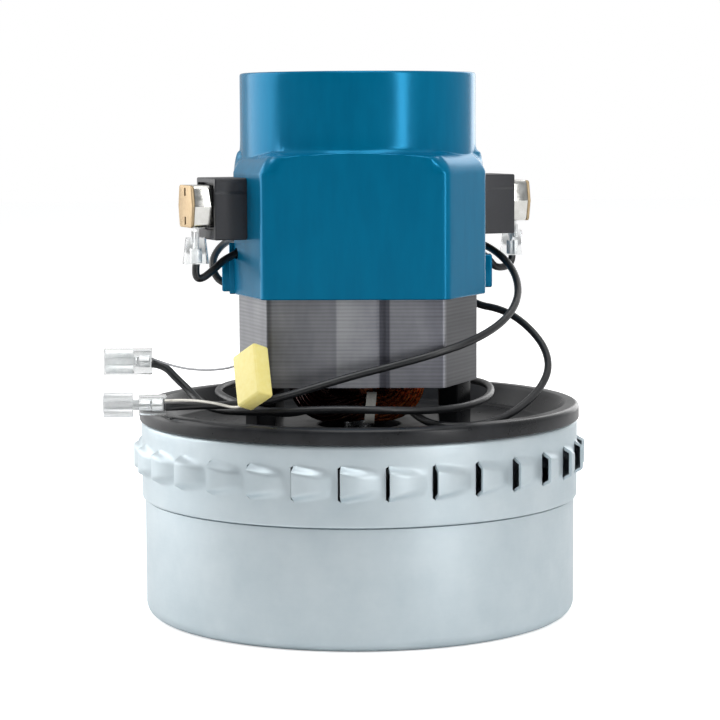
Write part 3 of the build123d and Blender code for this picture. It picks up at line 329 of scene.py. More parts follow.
# %% Matt finishes
# One row each: colours, range of roughness, grain in millimetres and the depth of its marks.
MATT = {
    "yellow_film_capacitor_case": ("#F7E688", "#FCEE9B", (0.34, 0.44), 2.2, 0.01),
    "white_cotton_lacing": ("#DCDAD2", "#F1F0EA", (0.75, 0.9), 0.5, 0.06),
    "fibre_slot_paper": ("#B9A98A", "#CDBF9F", (0.7, 0.85), 1.0, 0.03),
    "pressed_carbon": ("#1B1B1D", "#2A2A2D", (0.5, 0.65), 0.5, 0.01),
    "black_glass_filled_nylon": ("#232427", "#2E2F33", (0.42, 0.55), 1.2, 0.01),
}
matt = {name: plain_finish(name, dark, light, gloss, (grain,), depth)
        for name, (dark, light, gloss, grain, depth) in MATT.items()}
print(len(matt), "matt finishes")

# %% [markdown]
# ## Leads
# The leads come before the solid pieces, because their lie decides how far the model spreads.
# Each is one smooth NURBS line through the air, pulled by the same points as its CAD route.
# Soft PVC over stranded copper bends in wide arcs, so no point turns sharply.

# %% Curve helper
def wire_along(name, points, diameter, finish):
    """Round wire whose line is one NURBS spline pulled by points in millimetres."""
    curve = bpy.data.curves.new(name, "CURVE")
    curve.dimensions = "3D"
    spline = curve.splines.new("NURBS")
    spline.points.add(len(points) - 1)
    for point, (x, y, z) in zip(spline.points, points):
        point.co = (x * MM, y * MM, z * MM, 1)
    spline.order_u = 3
    spline.use_endpoint_u = True
    curve.resolution_u = 10
    curve.bevel_depth = diameter / 2 * MM
    curve.bevel_resolution = 5
    curve.use_fill_caps = True
    curve.materials.append(finish)
    return add_object(name, curve)


# %% Routes of the leads
LEAD = 2.5
ROUTES = {
    "supply_lead_lower": [
        (-41.6, 0.3, 109.8), (-45.6, 0.1, 110.1), (-48.6, 0.9, 113.4), (-49.4, 5.0, 118.0),
        (-46.6, 13.0, 122.6), (-42.8, 25.5, 123.9), (-35.8, 38.6, 123.4), (-21.5, 45.0, 122.6),
        (-4.0, 45.6, 123.6), (12.0, 46.0, 123.0), (28.0, 43.5, 123.6), (38.5, 32.5, 122.8),
        (45.8, 20.5, 120.7), (52.2, 10.5, 114.8), (54.0, 0.0, 108.0), (51.5, -12.0, 102.3),
        (45.5, -25.0, 97.6), (36.0, -36.5, 93.6), (24.0, -43.0, 90.2), (10.0, -44.5, 86.6),
        (-2.8, -46.5, 83.6), (-15.0, -49.5, 80.3), (-28.0, -51.0, 76.6), (-40.0, -48.5, 75.0),
        (-49.5, -43.6, 74.3), (-57.5, -39.2, 73.5), (-62.3, -38.0, 73.1),
    ],
    "supply_lead_upper": [
        (-16.3, -31.4, 71.4), (-20.5, -34.6, 70.4), (-29.0, -32.5, 70.6), (-38.0, -24.5, 72.0),
        (-45.0, -14.0, 73.4), (-48.0, -1.0, 74.2), (-45.0, 14.5, 74.4), (-37.5, 29.0, 74.1),
        (-24.0, 40.5, 73.8), (-7.0, 45.8, 73.3), (11.0, 45.0, 73.5), (27.0, 38.0, 74.0),
        (38.5, 26.0, 74.4), (44.0, 11.0, 74.6), (44.6, -4.0, 73.8), (41.5, -19.0, 72.6),
        (33.0, -34.0, 72.0), (21.0, -45.0, 72.4), (7.0, -51.0, 73.4), (-8.0, -52.0, 73.9),
        (-22.0, -50.5, 73.2), (-35.0, -46.0, 72.4), (-45.5, -38.0, 72.0), (-51.5, -28.5, 73.2),
        (-55.5, -22.3, 76.6), (-60.0, -20.8, 80.6), (-64.0, -20.1, 84.9), (-68.0, -20.0, 85.3),
    ],
    "coil_link_lead": [
        (37.0, 22.2, 107.3), (37.6, 22.6, 103.2), (41.6, 20.6, 100.8), (47.5, 17.0, 100.0),
        (53.5, 12.0, 97.6), (59.5, 5.0, 92.5), (63.0, -1.5, 87.0), (63.3, -9.0, 81.5),
        (60.0, -17.0, 76.5), (54.5, -26.0, 72.5), (48.5, -34.0, 69.5), (40.5, -40.0, 67.3),
        (30.0, -41.0, 66.6), (21.0, -37.5, 67.6), (17.5, -31.9, 70.2),
    ],
    "left_brush_lead": [
        (-39.4, -13.6, 121.2), (-43.6, -15.3, 119.6), (-46.9, -17.2, 116.4),
        (-51.4, -20.6, 112.8), (-53.4, -21.8, 114.2), (-52.9, -21.4, 118.2),
    ],
    "right_brush_lead": [
        (39.4, 13.6, 121.2), (44.4, 16.0, 117.4), (47.0, 16.6, 113.7), (52.9, 21.0, 114.6),
        (52.9, 21.4, 118.2),
    ],
}
leads = {}
for route_name, route in ROUTES.items():
    leads[route_name] = wire_along(route_name + "_wire", route, LEAD, lead_insulation)
    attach(leads[route_name], "frame")
    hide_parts(route_name)
print("leads:", ", ".join(leads))

# %% [markdown]
# ## Shapes
# Sheet and moulded parts never have knife edges. `soften` rounds the corners of a flat
# outline, `lathe` turns a profile about the motor axis, `prism` raises an outline into a
# block with rounded edges, and `carve` cuts one shape out of another. `settle` gives a
# finished mesh its material, and smooths it except over real corners.

# %% Outline helpers
# A corner this close to a straight line, in radians, is left as it is.
STRAIGHT = 0.02
# The stator and the housing stand turned by this on the can.
BODY_TURN = radians(-1.5)


def soften(points, radii, steps=4):
    """A closed outline with arcs at its corners. Radii is one number or one for each corner."""
    if not hasattr(radii, "__len__"):
        radii = [radii] * len(points)
    result = []
    count = len(points)
    for number, radius in enumerate(radii):
        before, here, after = (Vector(points[(number + step) % count]) for step in (-1, 0, 1))
        back, ahead = (before - here).normalized(), (after - here).normalized()
        opening = back.angle(ahead)
        if radius <= 0 or opening > pi - STRAIGHT:
            result.append(tuple(here))
            continue
        reach = radius / tan(opening / 2)
        centre = here + (back + ahead).normalized() * radius / sin(opening / 2)
        first, last = here + back * reach - centre, here + ahead * reach - centre
        for step in range(steps + 1):
            result.append(tuple(centre + first.slerp(last, step / steps).normalized() * radius))
    return result


def split_long(points, longest):
    """A closed outline with its long sides cut into shorter ones."""
    result = []
    for here, after in zip(points, points[1:] + points[:1]):
        count = max(1, round(hypot(after[0] - here[0], after[1] - here[1]) / longest))
        for step in range(count):
            share = step / count
            result.append((here[0] + (after[0] - here[0]) * share,
                           here[1] + (after[1] - here[1]) * share))
    return result


def turned(x, y):
    """A place on the stator or housing, which stand turned a little on the can."""
    return (x * cos(BODY_TURN) - y * sin(BODY_TURN), x * sin(BODY_TURN) + y * cos(BODY_TURN))


# %% Mesh helpers
def mesh_object(name, points, faces, matrix=None):
    """A mesh from points in millimetres."""
    mesh = bpy.data.meshes.new(name)
    mesh.from_pydata([Vector(point) * MM for point in points], [], faces)
    if matrix:
        mesh.transform(matrix)
    return add_object(name, mesh)


def tidy(piece, turn_out=True):
    """Merge doubles and turn the faces of a closed shell outwards."""
    work = bmesh.new()
    work.from_mesh(piece.data)
    bmesh.ops.remove_doubles(work, verts=work.verts, dist=0.001 * MM)
    if turn_out:
        bmesh.ops.recalc_face_normals(work, faces=work.faces)
    work.to_mesh(piece.data)
    work.free()
    return piece


def grid_faces(rows, columns, close_rows=True, close_columns=True):
    """Four-sided faces of a grid of points, row by row."""
    faces = []
    for row in range(rows if close_rows else rows - 1):
        above = (row + 1) % rows
        for column in range(columns if close_columns else columns - 1):
            beside = (column + 1) % columns
            faces.append((row * columns + column, row * columns + beside,
                          above * columns + beside, above * columns + column))
    return faces


def lathe(name, profile, turns=192, centre=(0, 0)):
    """Ring turned about an upright axis from a closed profile of radius and height."""
    angles = [2 * pi * turn / turns for turn in range(turns)]
    points = [(centre[0] + radius * cos(angle), centre[1] + radius * sin(angle), height)
              for radius, height in profile for angle in angles]
    return tidy(mesh_object(name, points, grid_faces(len(profile), turns)))


def prism(name, outline, low, high, bevel=0.0, matrix=None, steps=3):
    """Block raised from an outline between two heights, its edges rounded, then placed."""
    count = len(outline)
    points = [(x, y, height) for height in (low, high) for x, y in outline]
    faces = [tuple(range(count - 1, -1, -1)), tuple(range(count, 2 * count))]
    faces += [(side, (side + 1) % count, count + (side + 1) % count, count + side)
              for side in range(count)]
    piece = tidy(mesh_object(name, points, faces))
    if bevel:
        work = bmesh.new()
        work.from_mesh(piece.data)
        sharp = [edge for edge in work.edges if edge.calc_face_angle() > radians(25)]
        bmesh.ops.bevel(work, geom=sharp, offset=bevel * MM, segments=steps, profile=0.5,
                        affect="EDGES", clamp_overlap=True)
        work.to_mesh(piece.data)
        work.free()
    if matrix:
        piece.data.transform(matrix)
    return piece


def rectangle(wide, deep, x=0.0, y=0.0):
    """Corners of a rectangle round a centre."""
    return [(x - wide / 2, y - deep / 2), (x + wide / 2, y - deep / 2),
            (x + wide / 2, y + deep / 2), (x - wide / 2, y + deep / 2)]


def place_at(x=0.0, y=0.0, z=0.0, turn=0.0):
    """Matrix that turns about the upright axis and moves, in millimetres and radians."""
    return Matrix.Translation(Vector((x, y, z)) * MM) @ Matrix.Rotation(turn, 4, "Z")


def wire_mesh(name, lines, diameter, sides, closed):
    """Mesh of round wires along lines of points in metres, as loops or with capped ends."""
    curve = bpy.data.curves.new(name, "CURVE")
    curve.dimensions = "3D"
    for line in lines:
        spline = curve.splines.new("POLY")
        spline.points.add(len(line) - 1)
        for point, spot in zip(spline.points, line):
            point.co = (*spot, 1)
        spline.use_cyclic_u = closed
    curve.bevel_depth = diameter / 2 * MM
    curve.bevel_resolution = sides
    curve.use_fill_caps = not closed
    holder = add_object(name, curve)
    graph = bpy.context.evaluated_depsgraph_get()
    mesh = bpy.data.meshes.new_from_object(holder.evaluated_get(graph))
    bpy.data.objects.remove(holder)
    return add_object(name, mesh)


# %% Joining, cutting and finishing
def join(name, pieces):
    """One mesh from several, which are removed."""
    work = bmesh.new()
    for piece in pieces:
        work.from_mesh(piece.data)
        bpy.data.objects.remove(piece)
    mesh = bpy.data.meshes.new(name)
    work.to_mesh(mesh)
    work.free()
    return add_object(name, mesh)


def bake(piece):
    """Apply a piece's modifiers, so that it is a plain mesh."""
    graph = bpy.context.evaluated_depsgraph_get()
    mesh = bpy.data.meshes.new_from_object(piece.evaluated_get(graph))
    piece.modifiers.clear()
    piece.data = mesh
    return piece


def carve(piece, cutters, mode="DIFFERENCE"):
    """Cut shapes out of a piece, or unite them with it, and remove them."""
    for cutter in cutters:
        cut = piece.modifiers.new("cut", "BOOLEAN")
        cut.operation = mode
        cut.solver = "EXACT"
        cut.object = cutter
        bake(piece)
        bpy.data.objects.remove(cutter)
    return piece


def settle(piece, finish, nodes=(), body="frame", crease=32):
    """Finish a piece: material, smooth shading up to a crease angle, body and CAD nodes."""
    piece.data.materials.clear()
    piece.data.materials.append(finish)
    piece.data.polygons.foreach_set("use_smooth", [True] * len(piece.data.polygons))
    piece.data.set_sharp_from_angle(angle=radians(crease))
    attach(piece, body)
    if nodes:
        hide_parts(*nodes)
    print(piece.name, "has", len(piece.data.polygons), "faces")


# %% [markdown]
# ## Lower can
# The lower can is drawn from one disc of sheet, so its bottom corner is a smooth arc and its
# wall is even. A turned profile gives that arc exactly, with the suction eye in the floor. The
# top of the wall steps in under the band, which leaves the thin shadow line between the two.

# %% Lower can
can_profile = soften(
    [(20, 0), (72.2, 0), (72.2, 39.0), (71.5, 39.3), (71.5, 43), (70.6, 43), (70.6, 39.2),
     (71.3, 38.3), (71.3, 0.9), (20.9, 0.9), (20.9, 5), (20, 5)],
    [0.9, 4.0, 0.15, 0.1, 0.3, 0.3, 0.2, 0.2, 3.1, 0.3, 0.3, 0.3], 7)
settle(lathe("lower_can_shell", can_profile, 256), casing_steel, ["lower_can"])

# %% [markdown]
# ## Louvred band
# Each louvre is a slit whose one side is pressed outwards into a hood, so 31 louvres are the
# same piece of sheet 31 times. One segment is drawn as a grid that starts at a slit: its
# first column is pushed out and the push fades before the next slit. Geometry Nodes turn
# the segment round the axis. `tidy` merges the seams where both sides lie flat and leaves the
# slits open. Solidify then gives the sheet its thickness, seen at the mouths.

# %% One louvre segment
BAND = 73.15
BAND_TOP, BAND_FOOT = 65.3, 39.6
SHEET = 0.9
LOUVRES = 31
SEGMENT = 2 * pi / LOUVRES
FIRST_SLIT = radians(-94.5)
# A hood's length round the band, its rise and middle height, and half its height at the sheet
# and at the lip. Towards its tail it narrows, and its flat top draws in to an edge.
HOOD_SWEEP = radians(9.8)
HOOD_RISE, HOOD_MIDDLE = 2.7, 53.2
HOOD_BASE, HOOD_LIP = 5.7, 3.7
HOOD_NARROWS, LIP_DRAWS_IN, HOOD_FALL = 0.22, 2.4, 1.4
# The punch leaves this gap between a hood's lip and the edge that it was cut from. It closes
# where the hood rises less than its full gap's rise.
SLIT_GAP, FULL_GAP_RISE = radians(0.75), 0.8


def hood_push(angle, height):
    """How far the sheet is pressed out at an angle past the slit."""
    along = min(angle / HOOD_SWEEP, 1.0)
    across = abs(height - HOOD_MIDDLE) / (1 - HOOD_NARROWS * along)
    lip = HOOD_LIP - LIP_DRAWS_IN * along
    slope = min(max((HOOD_BASE - across) / (HOOD_BASE - lip), 0.0), 1.0)
    fall = (1 - along ** 2) ** HOOD_FALL
    return HOOD_RISE * fall * slope * slope * (3 - 2 * slope)


def slit_gap(angle, height):
    """How far the last column draws back from the next hood's lip."""
    return SLIT_GAP * min(hood_push(0, height) / FULL_GAP_RISE, 1) if angle == SEGMENT else 0


band_edge = soften([(BAND - 7, BAND_TOP), (BAND, BAND_TOP), (BAND, BAND_FOOT),
                    (BAND - 7, BAND_FOOT)], [0, 1.6, 0, 0], 5)
flat_rows = [61.5, 59.9] + [59.3 - 0.58 * step for step in range(22)]
flat_rows += [46.2, 45.0, 43.0, 40.6, 40.2]
band_profile = band_edge[:-2] + [(BAND, height) for height in flat_rows]
band_profile += [(BAND - 0.03, 39.85), (BAND - 0.15, BAND_FOOT)]
angle_steps = [0, 0.35, 0.8, 1.4, 2.1, 2.9, 3.8, 4.8, 5.8, 6.8, 7.8, 8.6, 9.3, 9.8, 10.7]
columns = [radians(step) for step in angle_steps] + [SEGMENT]
segment_points = []
for radius, height in band_profile:
    for angle in columns:
        reach = radius + hood_push(angle, height)
        turn = angle - slit_gap(angle, height) + FIRST_SLIT
        segment_points.append((reach * cos(turn), reach * sin(turn), height))
segment_faces = grid_faces(len(band_profile), len(columns), False, False)
louvred_band = mesh_object("louvred_band_sheet", segment_points,
                           [face[::-1] for face in segment_faces])
print("one segment has", len(segment_faces), "faces")

# %% Turn the segment round the axis
def ring_tree(name, finish):
    """Geometry Nodes that repeat a piece round the motor axis."""
    tree = bpy.data.node_groups.new(name, "GeometryNodeTree")
    tree.is_modifier = True
    for socket, way, kind in (("Geometry", "INPUT", "Geometry"), ("Geometry", "OUTPUT", "Geometry"),
                              ("Count", "INPUT", "Int")):
        tree.interface.new_socket(socket, in_out=way, socket_type="NodeSocket" + kind)
    given = add_node(tree, "NodeGroupInput")
    line = add_node(tree, "GeometryNodeMeshLine", {"Offset": (0, 0, 0)},
                    {"Count": given.outputs["Count"]})
    step = add_node(tree, "ShaderNodeMath", {"operation": "DIVIDE", 0: 2 * pi},
                    {1: given.outputs["Count"]})
    index = add_node(tree, "GeometryNodeInputIndex")
    angle = add_node(tree, "ShaderNodeMath", {"operation": "MULTIPLY"},
                     {0: index.outputs["Index"], 1: step.outputs["Value"]})
    turn = add_node(tree, "ShaderNodeCombineXYZ", links={"Z": angle.outputs["Value"]})
    copies = add_node(tree, "GeometryNodeInstanceOnPoints",
                      links={"Points": line.outputs["Mesh"],
                             "Instance": given.outputs["Geometry"],
                             "Rotation": turn.outputs["Vector"]})
    real = add_node(tree, "GeometryNodeRealizeInstances",
                    links={"Geometry": copies.outputs["Instances"]})
    dressed = add_node(tree, "GeometryNodeSetMaterial", {"Material": finish},
                       {"Geometry": real.outputs["Geometry"]})
    add_node(tree, "NodeGroupOutput", links={"Geometry": dressed.outputs["Geometry"]})
    return tree


def run_tree(piece, tree, count):
    """Put a ring tree on a piece, set its count and make the result a plain mesh."""
    modifier = piece.modifiers.new(tree.name, "NODES")
    modifier.node_group = tree
    for item in tree.interface.items_tree:
        if item.item_type == "SOCKET" and item.name == "Count":
            modifier[item.identifier] = count
    return bake(piece)


tidy(run_tree(louvred_band, ring_tree("louvres_round_the_band", casing_steel), LOUVRES), False)
thicken = louvred_band.modifiers.new("sheet", "SOLIDIFY")
thicken.thickness = SHEET * MM
thicken.offset = -1
bake(louvred_band)
settle(louvred_band, casing_steel, ["louvred_band"], crease=40)

# %% [markdown]
# ## Upper bracket
# The black bracket is a pressed dish with a rolled rim. The rim's round edges are what
# catches the light, so the profile is softened there. Four pillars carry the stator, and a
# notch in the rim shows where it is keyed to the casing.

# %% Places of the four clamping screws
# The stack of laminations is an eight-sided prism: its front and side flats, the halves of
# their widths, and how far a screw stands in from its slanted flat and aside of its middle.
STACK_FRONT, STACK_FRONT_HALF = 38.0, 28.5
STACK_SIDE, STACK_SIDE_HALF = 39.3, 12.0
SCREW_IN, SCREW_ASIDE = 3.8, 6.0
facet_turn = atan2(STACK_SIDE - STACK_FRONT_HALF, STACK_FRONT - STACK_SIDE_HALF)
clamp_reach = STACK_SIDE * cos(facet_turn) + STACK_SIDE_HALF * sin(facet_turn) - SCREW_IN
clamp_x = clamp_reach * cos(facet_turn) - SCREW_ASIDE * sin(facet_turn)
clamp_y = clamp_reach * sin(facet_turn) + SCREW_ASIDE * cos(facet_turn)
clamps = [(side_x * clamp_x, side_y * clamp_y, side_x * side_y * (pi / 2 + facet_turn))
          for side_x in (1, -1) for side_y in (1, -1)]
print("screws stand", round(hypot(clamp_x, clamp_y), 1), "mm from the axis")

# %% Upper bracket
RIM = 73.8
NOTCH_TURN = radians(12)
dish_profile = soften(
    [(RIM, 65.3), (RIM, 70.4), (69.1, 70.4), (63.7, 63.2), (57.0, 62.6), (14.05, 62.6),
     (14.05, 50.5), (11.0, 50.5), (11.0, 48.9), (17.0, 48.9), (17.0, 60.2), (57.0, 60.2),
     (62.4, 60.8), (65.9, 65.3)],
    [0.4, 1.7, 1.0, 2.5, 5.0, 0.5, 0.2, 0.2, 0.4, 0.8, 1.0, 3.0, 3.0, 0.2], 6)
bracket = lathe("upper_bracket_dish", dish_profile, 256)
notch_place = place_at(RIM * cos(NOTCH_TURN), RIM * sin(NOTCH_TURN), 0, NOTCH_TURN)
carve(bracket, [prism("notch", soften(rectangle(2.8, 5.0), 0.6), 67.6, 71.4, 0, notch_place)])
pillars = [prism("pillar", rectangle(12.0, 6.6), 62.4, 79.0, 0.5,
                 place_at(*turned(x, y), 0, angle + BODY_TURN)) for x, y, angle in clamps]
settle(join("upper_bracket_dish", [bracket] + pillars), bracket_black,
       ["upper_bracket"])

# %% [markdown]
# ## Commutator housing
# The housing starts as an eight-sided box, a turned shoulder cuts its flats into arches, and a
# round neck rises from it. The tops of the slanted flats slope back towards the neck. Seen from
# the axis the housing has one surface in every direction, so it is drawn as a grid of angle by
# height: the reach is the smaller of the box and the shoulder, and above them the neck. Where
# two of these meet, a smooth minimum rounds the edge as a mould does.

# %% Outlines of the box and the chamber in it
BOX_FRONT, BOX_FRONT_HALF = 40.2, 29.6
BOX_NEAR, BOX_FAR, BOX_SIDE_HALF = 42.2, 40.7, 13.0


def octagon(front, front_half, near_side, far_side, side_half):
    """Eight corners of an outline that looks the same after half a turn."""
    half = [(-front_half, -front), (front_half, -front), (near_side, -side_half),
            (far_side, side_half)]
    return half + [(-x, -y) for x, y in half]


def reach_of(outline, angle):
    """Distance from the axis to an outline in one direction."""
    direction = Vector((cos(angle), sin(angle)))
    best = 0.0
    for here, after in zip(outline, outline[1:] + outline[:1]):
        here, side = Vector(here), Vector(after) - Vector(here)
        cross = direction.x * side.y - direction.y * side.x
        if abs(cross) < 1e-9:
            continue
        reach = (here.x * side.y - here.y * side.x) / cross
        share = (here.x * direction.y - here.y * direction.x) / cross
        if reach > 0 and -1e-6 <= share <= 1 + 1e-6:
            best = max(best, reach)
    return best


def smooth_low(first, second, blend):
    """The smaller of two values, blended where they are close."""
    share = min(max(0.5 + 0.5 * (second - first) / blend, 0.0), 1.0)
    return second * (1 - share) + first * share - blend * share * (1 - share)


box_corners = octagon(BOX_FRONT, BOX_FRONT_HALF, BOX_NEAR, BOX_FAR, BOX_SIDE_HALF)
box_outline = split_long(soften(box_corners, 3.5, 7), 1.7)
stator_corners = octagon(STACK_FRONT, STACK_FRONT_HALF, STACK_SIDE, STACK_SIDE, STACK_SIDE_HALF)
print("housing outline has", len(box_outline), "points")

# %% Housing shell
NECK, NECK_WALL = 39.2, 2.4
SKIRT, SKIRT_BEVEL = 107.4, 0.35
EDGE_BLEND, NECK_BLEND = 1.3, 0.5
# Reach and height of the turned shoulder, from outside the box up to the neck.
SHOULDER = ((60.0, 120.0), (52.3, 143.5), (49.9, 148.0), (49.2, 150.0), (48.2, 151.5),
            (46.8, 152.6), (45.0, 153.2), (42.4, 153.6), (40.6, 154.1), (39.8, 154.9),
            (39.35, 156.1), (39.0, 158.0), (38.0, 181.0))
# The slanted flats lie between two angles from the X axis. Their sloped top starts at a height,
# and falls back by a depth over its climb. It fades out over an angle at each edge, and the
# side flats keep a fifth of it.
SLANT_FROM, SLANT_TO = radians(17.0), radians(53.6)
FADE_TO_SIDE, FADE_TO_FRONT = radians(14), radians(5.5)
SIDE_KEEPS, SIDE_TO = 0.2, radians(30)
SLOPE_FROM, SLOPE_CLIMB, SLOPE_DEEP = 147.6, 7.0, 9.0
SLOPE_STRAIGHT, SLOPE_ROUND = 0.3, 0.7


def shoulder_reach(height):
    """Reach of the turned shoulder that cuts the arches."""
    for (reach, low), (next_reach, high) in zip(SHOULDER, SHOULDER[1:]):
        if height <= high:
            return reach + (next_reach - reach) * max(height - low, 0) / (high - low)
    return NECK


def slanted_share(angle):
    """1 on the slanted flats, fading beyond their edges."""
    folded = atan2(abs(sin(angle)), abs(cos(angle)))
    beyond = max((SLANT_FROM - folded) / FADE_TO_SIDE, (folded - SLANT_TO) / FADE_TO_FRONT)
    share = max(0.0, min(1.0, 1 - beyond))
    return max(share * share * (3 - 2 * share), SIDE_KEEPS if folded < SIDE_TO else 0.0)


def outer_reach(box, height, angle):
    """Reach of the housing's outside."""
    climb = min(max((height - SLOPE_FROM) / SLOPE_CLIMB, 0.0), 1.0)
    drop = SLOPE_STRAIGHT * climb + SLOPE_ROUND * (1 - (1 - climb ** 2) ** 0.5)
    sloped = box - SLOPE_DEEP * slanted_share(angle) * drop
    shoulder = smooth_low(sloped, shoulder_reach(height), EDGE_BLEND)
    return -smooth_low(-shoulder, -NECK, NECK_BLEND)


heights = [SKIRT + SKIRT_BEVEL, 111, 115, 119, 123, 127, 131, 135, 139, 142, 144]
heights += [145 + 0.5 * step for step in range(14)] + [152 + 0.14 * step for step in range(18)]
heights += [154.6, 154.9, 155.3, 155.8, 156.4, 157, 158, 160, 164, 168, 172, 176, 179.2]
shell = []
angles = [atan2(y, x) for x, y in box_outline]
boxes = [hypot(x, y) for x, y in box_outline]
pocket = [reach_of(stator_corners, angle) for angle in angles]


def shell_row(reaches, height):
    """Add one row of points at the given reaches."""
    for angle, reach in zip(angles, reaches):
        shell.append(turned(reach * cos(angle), reach * sin(angle)) + (height,))


shell_row([reach - SKIRT_BEVEL for reach in boxes], SKIRT)
for height in heights:
    shell_row([outer_reach(box, height, angle) for box, angle in zip(boxes, angles)], height)
for inset, height in ((0.1, 179.6), (0.4, 179.9), (0.8, 180.0), (1.6, 180.0), (2.0, 179.9),
                      (NECK_WALL, 179.5)):
    shell_row([NECK - inset] * len(angles), height)
for height in (175, 168, 160, 152, 148):
    shell_row([NECK - NECK_WALL] * len(angles), height)
# Inside the box the wall follows the stack. It is thicker above, to hold the stack down.
for beyond_stack, heights_there in ((-2.0, (148, 140, 130, 116)), (0.2, (116, 112, SKIRT + 0.3)),
                                    (0.45, (SKIRT,))):
    for height in heights_there:
        shell_row([reach + beyond_stack for reach in pocket], height)
rows = len(shell) // len(angles)
housing = tidy(mesh_object("commutator_housing_shell", shell, grid_faces(rows, len(angles))))
print("housing grid:", rows, "by", len(angles))

# %% Windows for the brush holders and holes for the leads
BRUSH_TURNS = {"right": radians(22), "left": radians(202)}
BRUSH_HEIGHT = 136.9
LINK_HEIGHT, LEAD_HOLE_HEIGHT = 109.8, 121.0
LEAD_HOLE_ASIDE = 2.2
sideways = Matrix.Rotation(pi / 2, 4, "Y")
hole_outline = soften(rectangle(3.8, 3.8), 1.85, 6)
cutters = [prism("window", soften(rectangle(19.3, 20.3), 0.5), 21, 60, 0,
                 place_at(0, 0, BRUSH_HEIGHT - 0.9, turn) @ sideways)
           for turn in BRUSH_TURNS.values()]
hole_turn = atan2(BOX_FAR - BOX_FRONT_HALF, BOX_FRONT - BOX_SIDE_HALF)
for side in (1, -1):
    spot = turned(side * (BOX_FAR - LEAD_HOLE_ASIDE * sin(hole_turn)),
                  side * (BOX_SIDE_HALF + LEAD_HOLE_ASIDE * cos(hole_turn)))
    out = place_at(*spot, LEAD_HOLE_HEIGHT, hole_turn + BODY_TURN) @ sideways
    cutters.append(prism("lead_hole", hole_outline, -4, 4, 0, out))
out = place_at(*turned(-BOX_FAR, 0.5), LINK_HEIGHT) @ sideways
cutters.append(prism("link_hole", hole_outline, -4, 4, 0, out))
carve(housing, cutters)

# %% Bridge for the upper bearing, and the wire hooks
extras = [lathe("bearing_hub", soften(
    [(8.0, 158.0), (8.0, 156.4), (11.05, 156.4), (11.05, 148.0), (14.6, 148.0), (14.6, 158.0)],
    [0.3, 0, 0, 0.3, 0.4, 0.6], 3), 96)]
extras += [prism("spoke", rectangle(23.4, 4.0, 25.6), 148.2, 157.8, 0.6,
                 place_at(turn=radians(67 + 90 * number))) for number in range(4)]
HOOK_ROOT, HOOK_TIP, FIN_TIP = 40.1, 44.9, 42.4
for side in (1, -1):
    for name, tip, along, wide, low, high, bevel in (
            ("hook", HOOK_TIP, 8.0, 8.0, 108.2, 119.2, 0.6),
            ("hook_fin", FIN_TIP, 11.5, 2.0, SKIRT, 124.4, 0.4)):
        outline = rectangle(tip - HOOK_ROOT, wide, side * (HOOK_ROOT + tip) / 2, side * along)
        extras.append(prism(name, outline, low, high, bevel, place_at(turn=BODY_TURN)))
settle(join("commutator_housing_shell", [housing] + extras), teal_moulding,
       ["commutator_housing"], crease=36)

# %% [markdown]
# ## Field coils
# Each coil is a bundle of enamelled strands wound round its pole. Every strand keeps its own
# place in an oval bundle, and the bundle twists a little along the end turns, so the strands
# cross the opening at a slant and each one catches the light on its own.

# %% One bundle of strands
STACK_MIDDLE = 97.5
COIL_OUT = 27.05
COIL_HALF_WIDE, COIL_HALF_HIGH, COIL_CORNER = 17.6, 26.2, 9.0
BUNDLE_HIGH, BUNDLE_DEEP, BUNDLE_TWIST = 4.3, 2.7, 1.15
STRAND, STRANDS = 0.92, 46
GOLDEN_ANGLE = 2.39996


def track(along):
    """Point and outward direction of the coil's middle line, a share of the way round it."""
    straight_x, straight_y = COIL_HALF_WIDE - COIL_CORNER, COIL_HALF_HIGH - COIL_CORNER
    centres = [(straight_x, -straight_y), (straight_x, straight_y), (-straight_x, straight_y),
               (-straight_x, -straight_y)]
    number, share = divmod(along * 4 % 4, 1)
    number = int(number)
    arc = COIL_CORNER * pi / 2
    reach = share * (arc + (2 * straight_y, 2 * straight_x)[number % 2])
    centre = Vector(centres[number])
    start = -pi / 2 + number * pi / 2
    bend = min(reach / COIL_CORNER, pi / 2)
    outward = Vector((cos(start + bend), sin(start + bend)))
    heading = Vector((-outward.y, outward.x))
    return centre + outward * COIL_CORNER + heading * max(reach - arc, 0), outward


def strand_line(seat, phase, side, steps=88):
    """Closed line, in metres, of one strand that keeps its seat in the oval bundle."""
    line = []
    for step in range(steps):
        along = step / steps
        spot, outward = track(along)
        twist = phase + BUNDLE_TWIST * sin(2 * pi * (2 * along + 0.15))
        up_share, deep_share = seat * cos(twist), seat * sin(twist)
        flat = spot + outward * BUNDLE_HIGH * up_share
        x, y = turned(flat.x, side * (COIL_OUT + BUNDLE_DEEP * deep_share))
        line.append((x * MM, y * MM, (STACK_MIDDLE + flat.y) * MM))
    return line


seats = [(((number + 0.5) / STRANDS) ** 0.5, number * GOLDEN_ANGLE) for number in range(STRANDS)]
for side, coil_name in ((-1, "front_field_coil"), (1, "rear_field_coil")):
    lines = [strand_line(seat, phase, side) for seat, phase in seats]
    settle(wire_mesh(coil_name + "_strands", lines, STRAND, 1, True), enamelled_copper,
           [coil_name], crease=60)

# %% Lacing tapes
TAPE_ALONG, TAPE_HALF, TAPE_THICK = 4.4, 1.6, 0.45


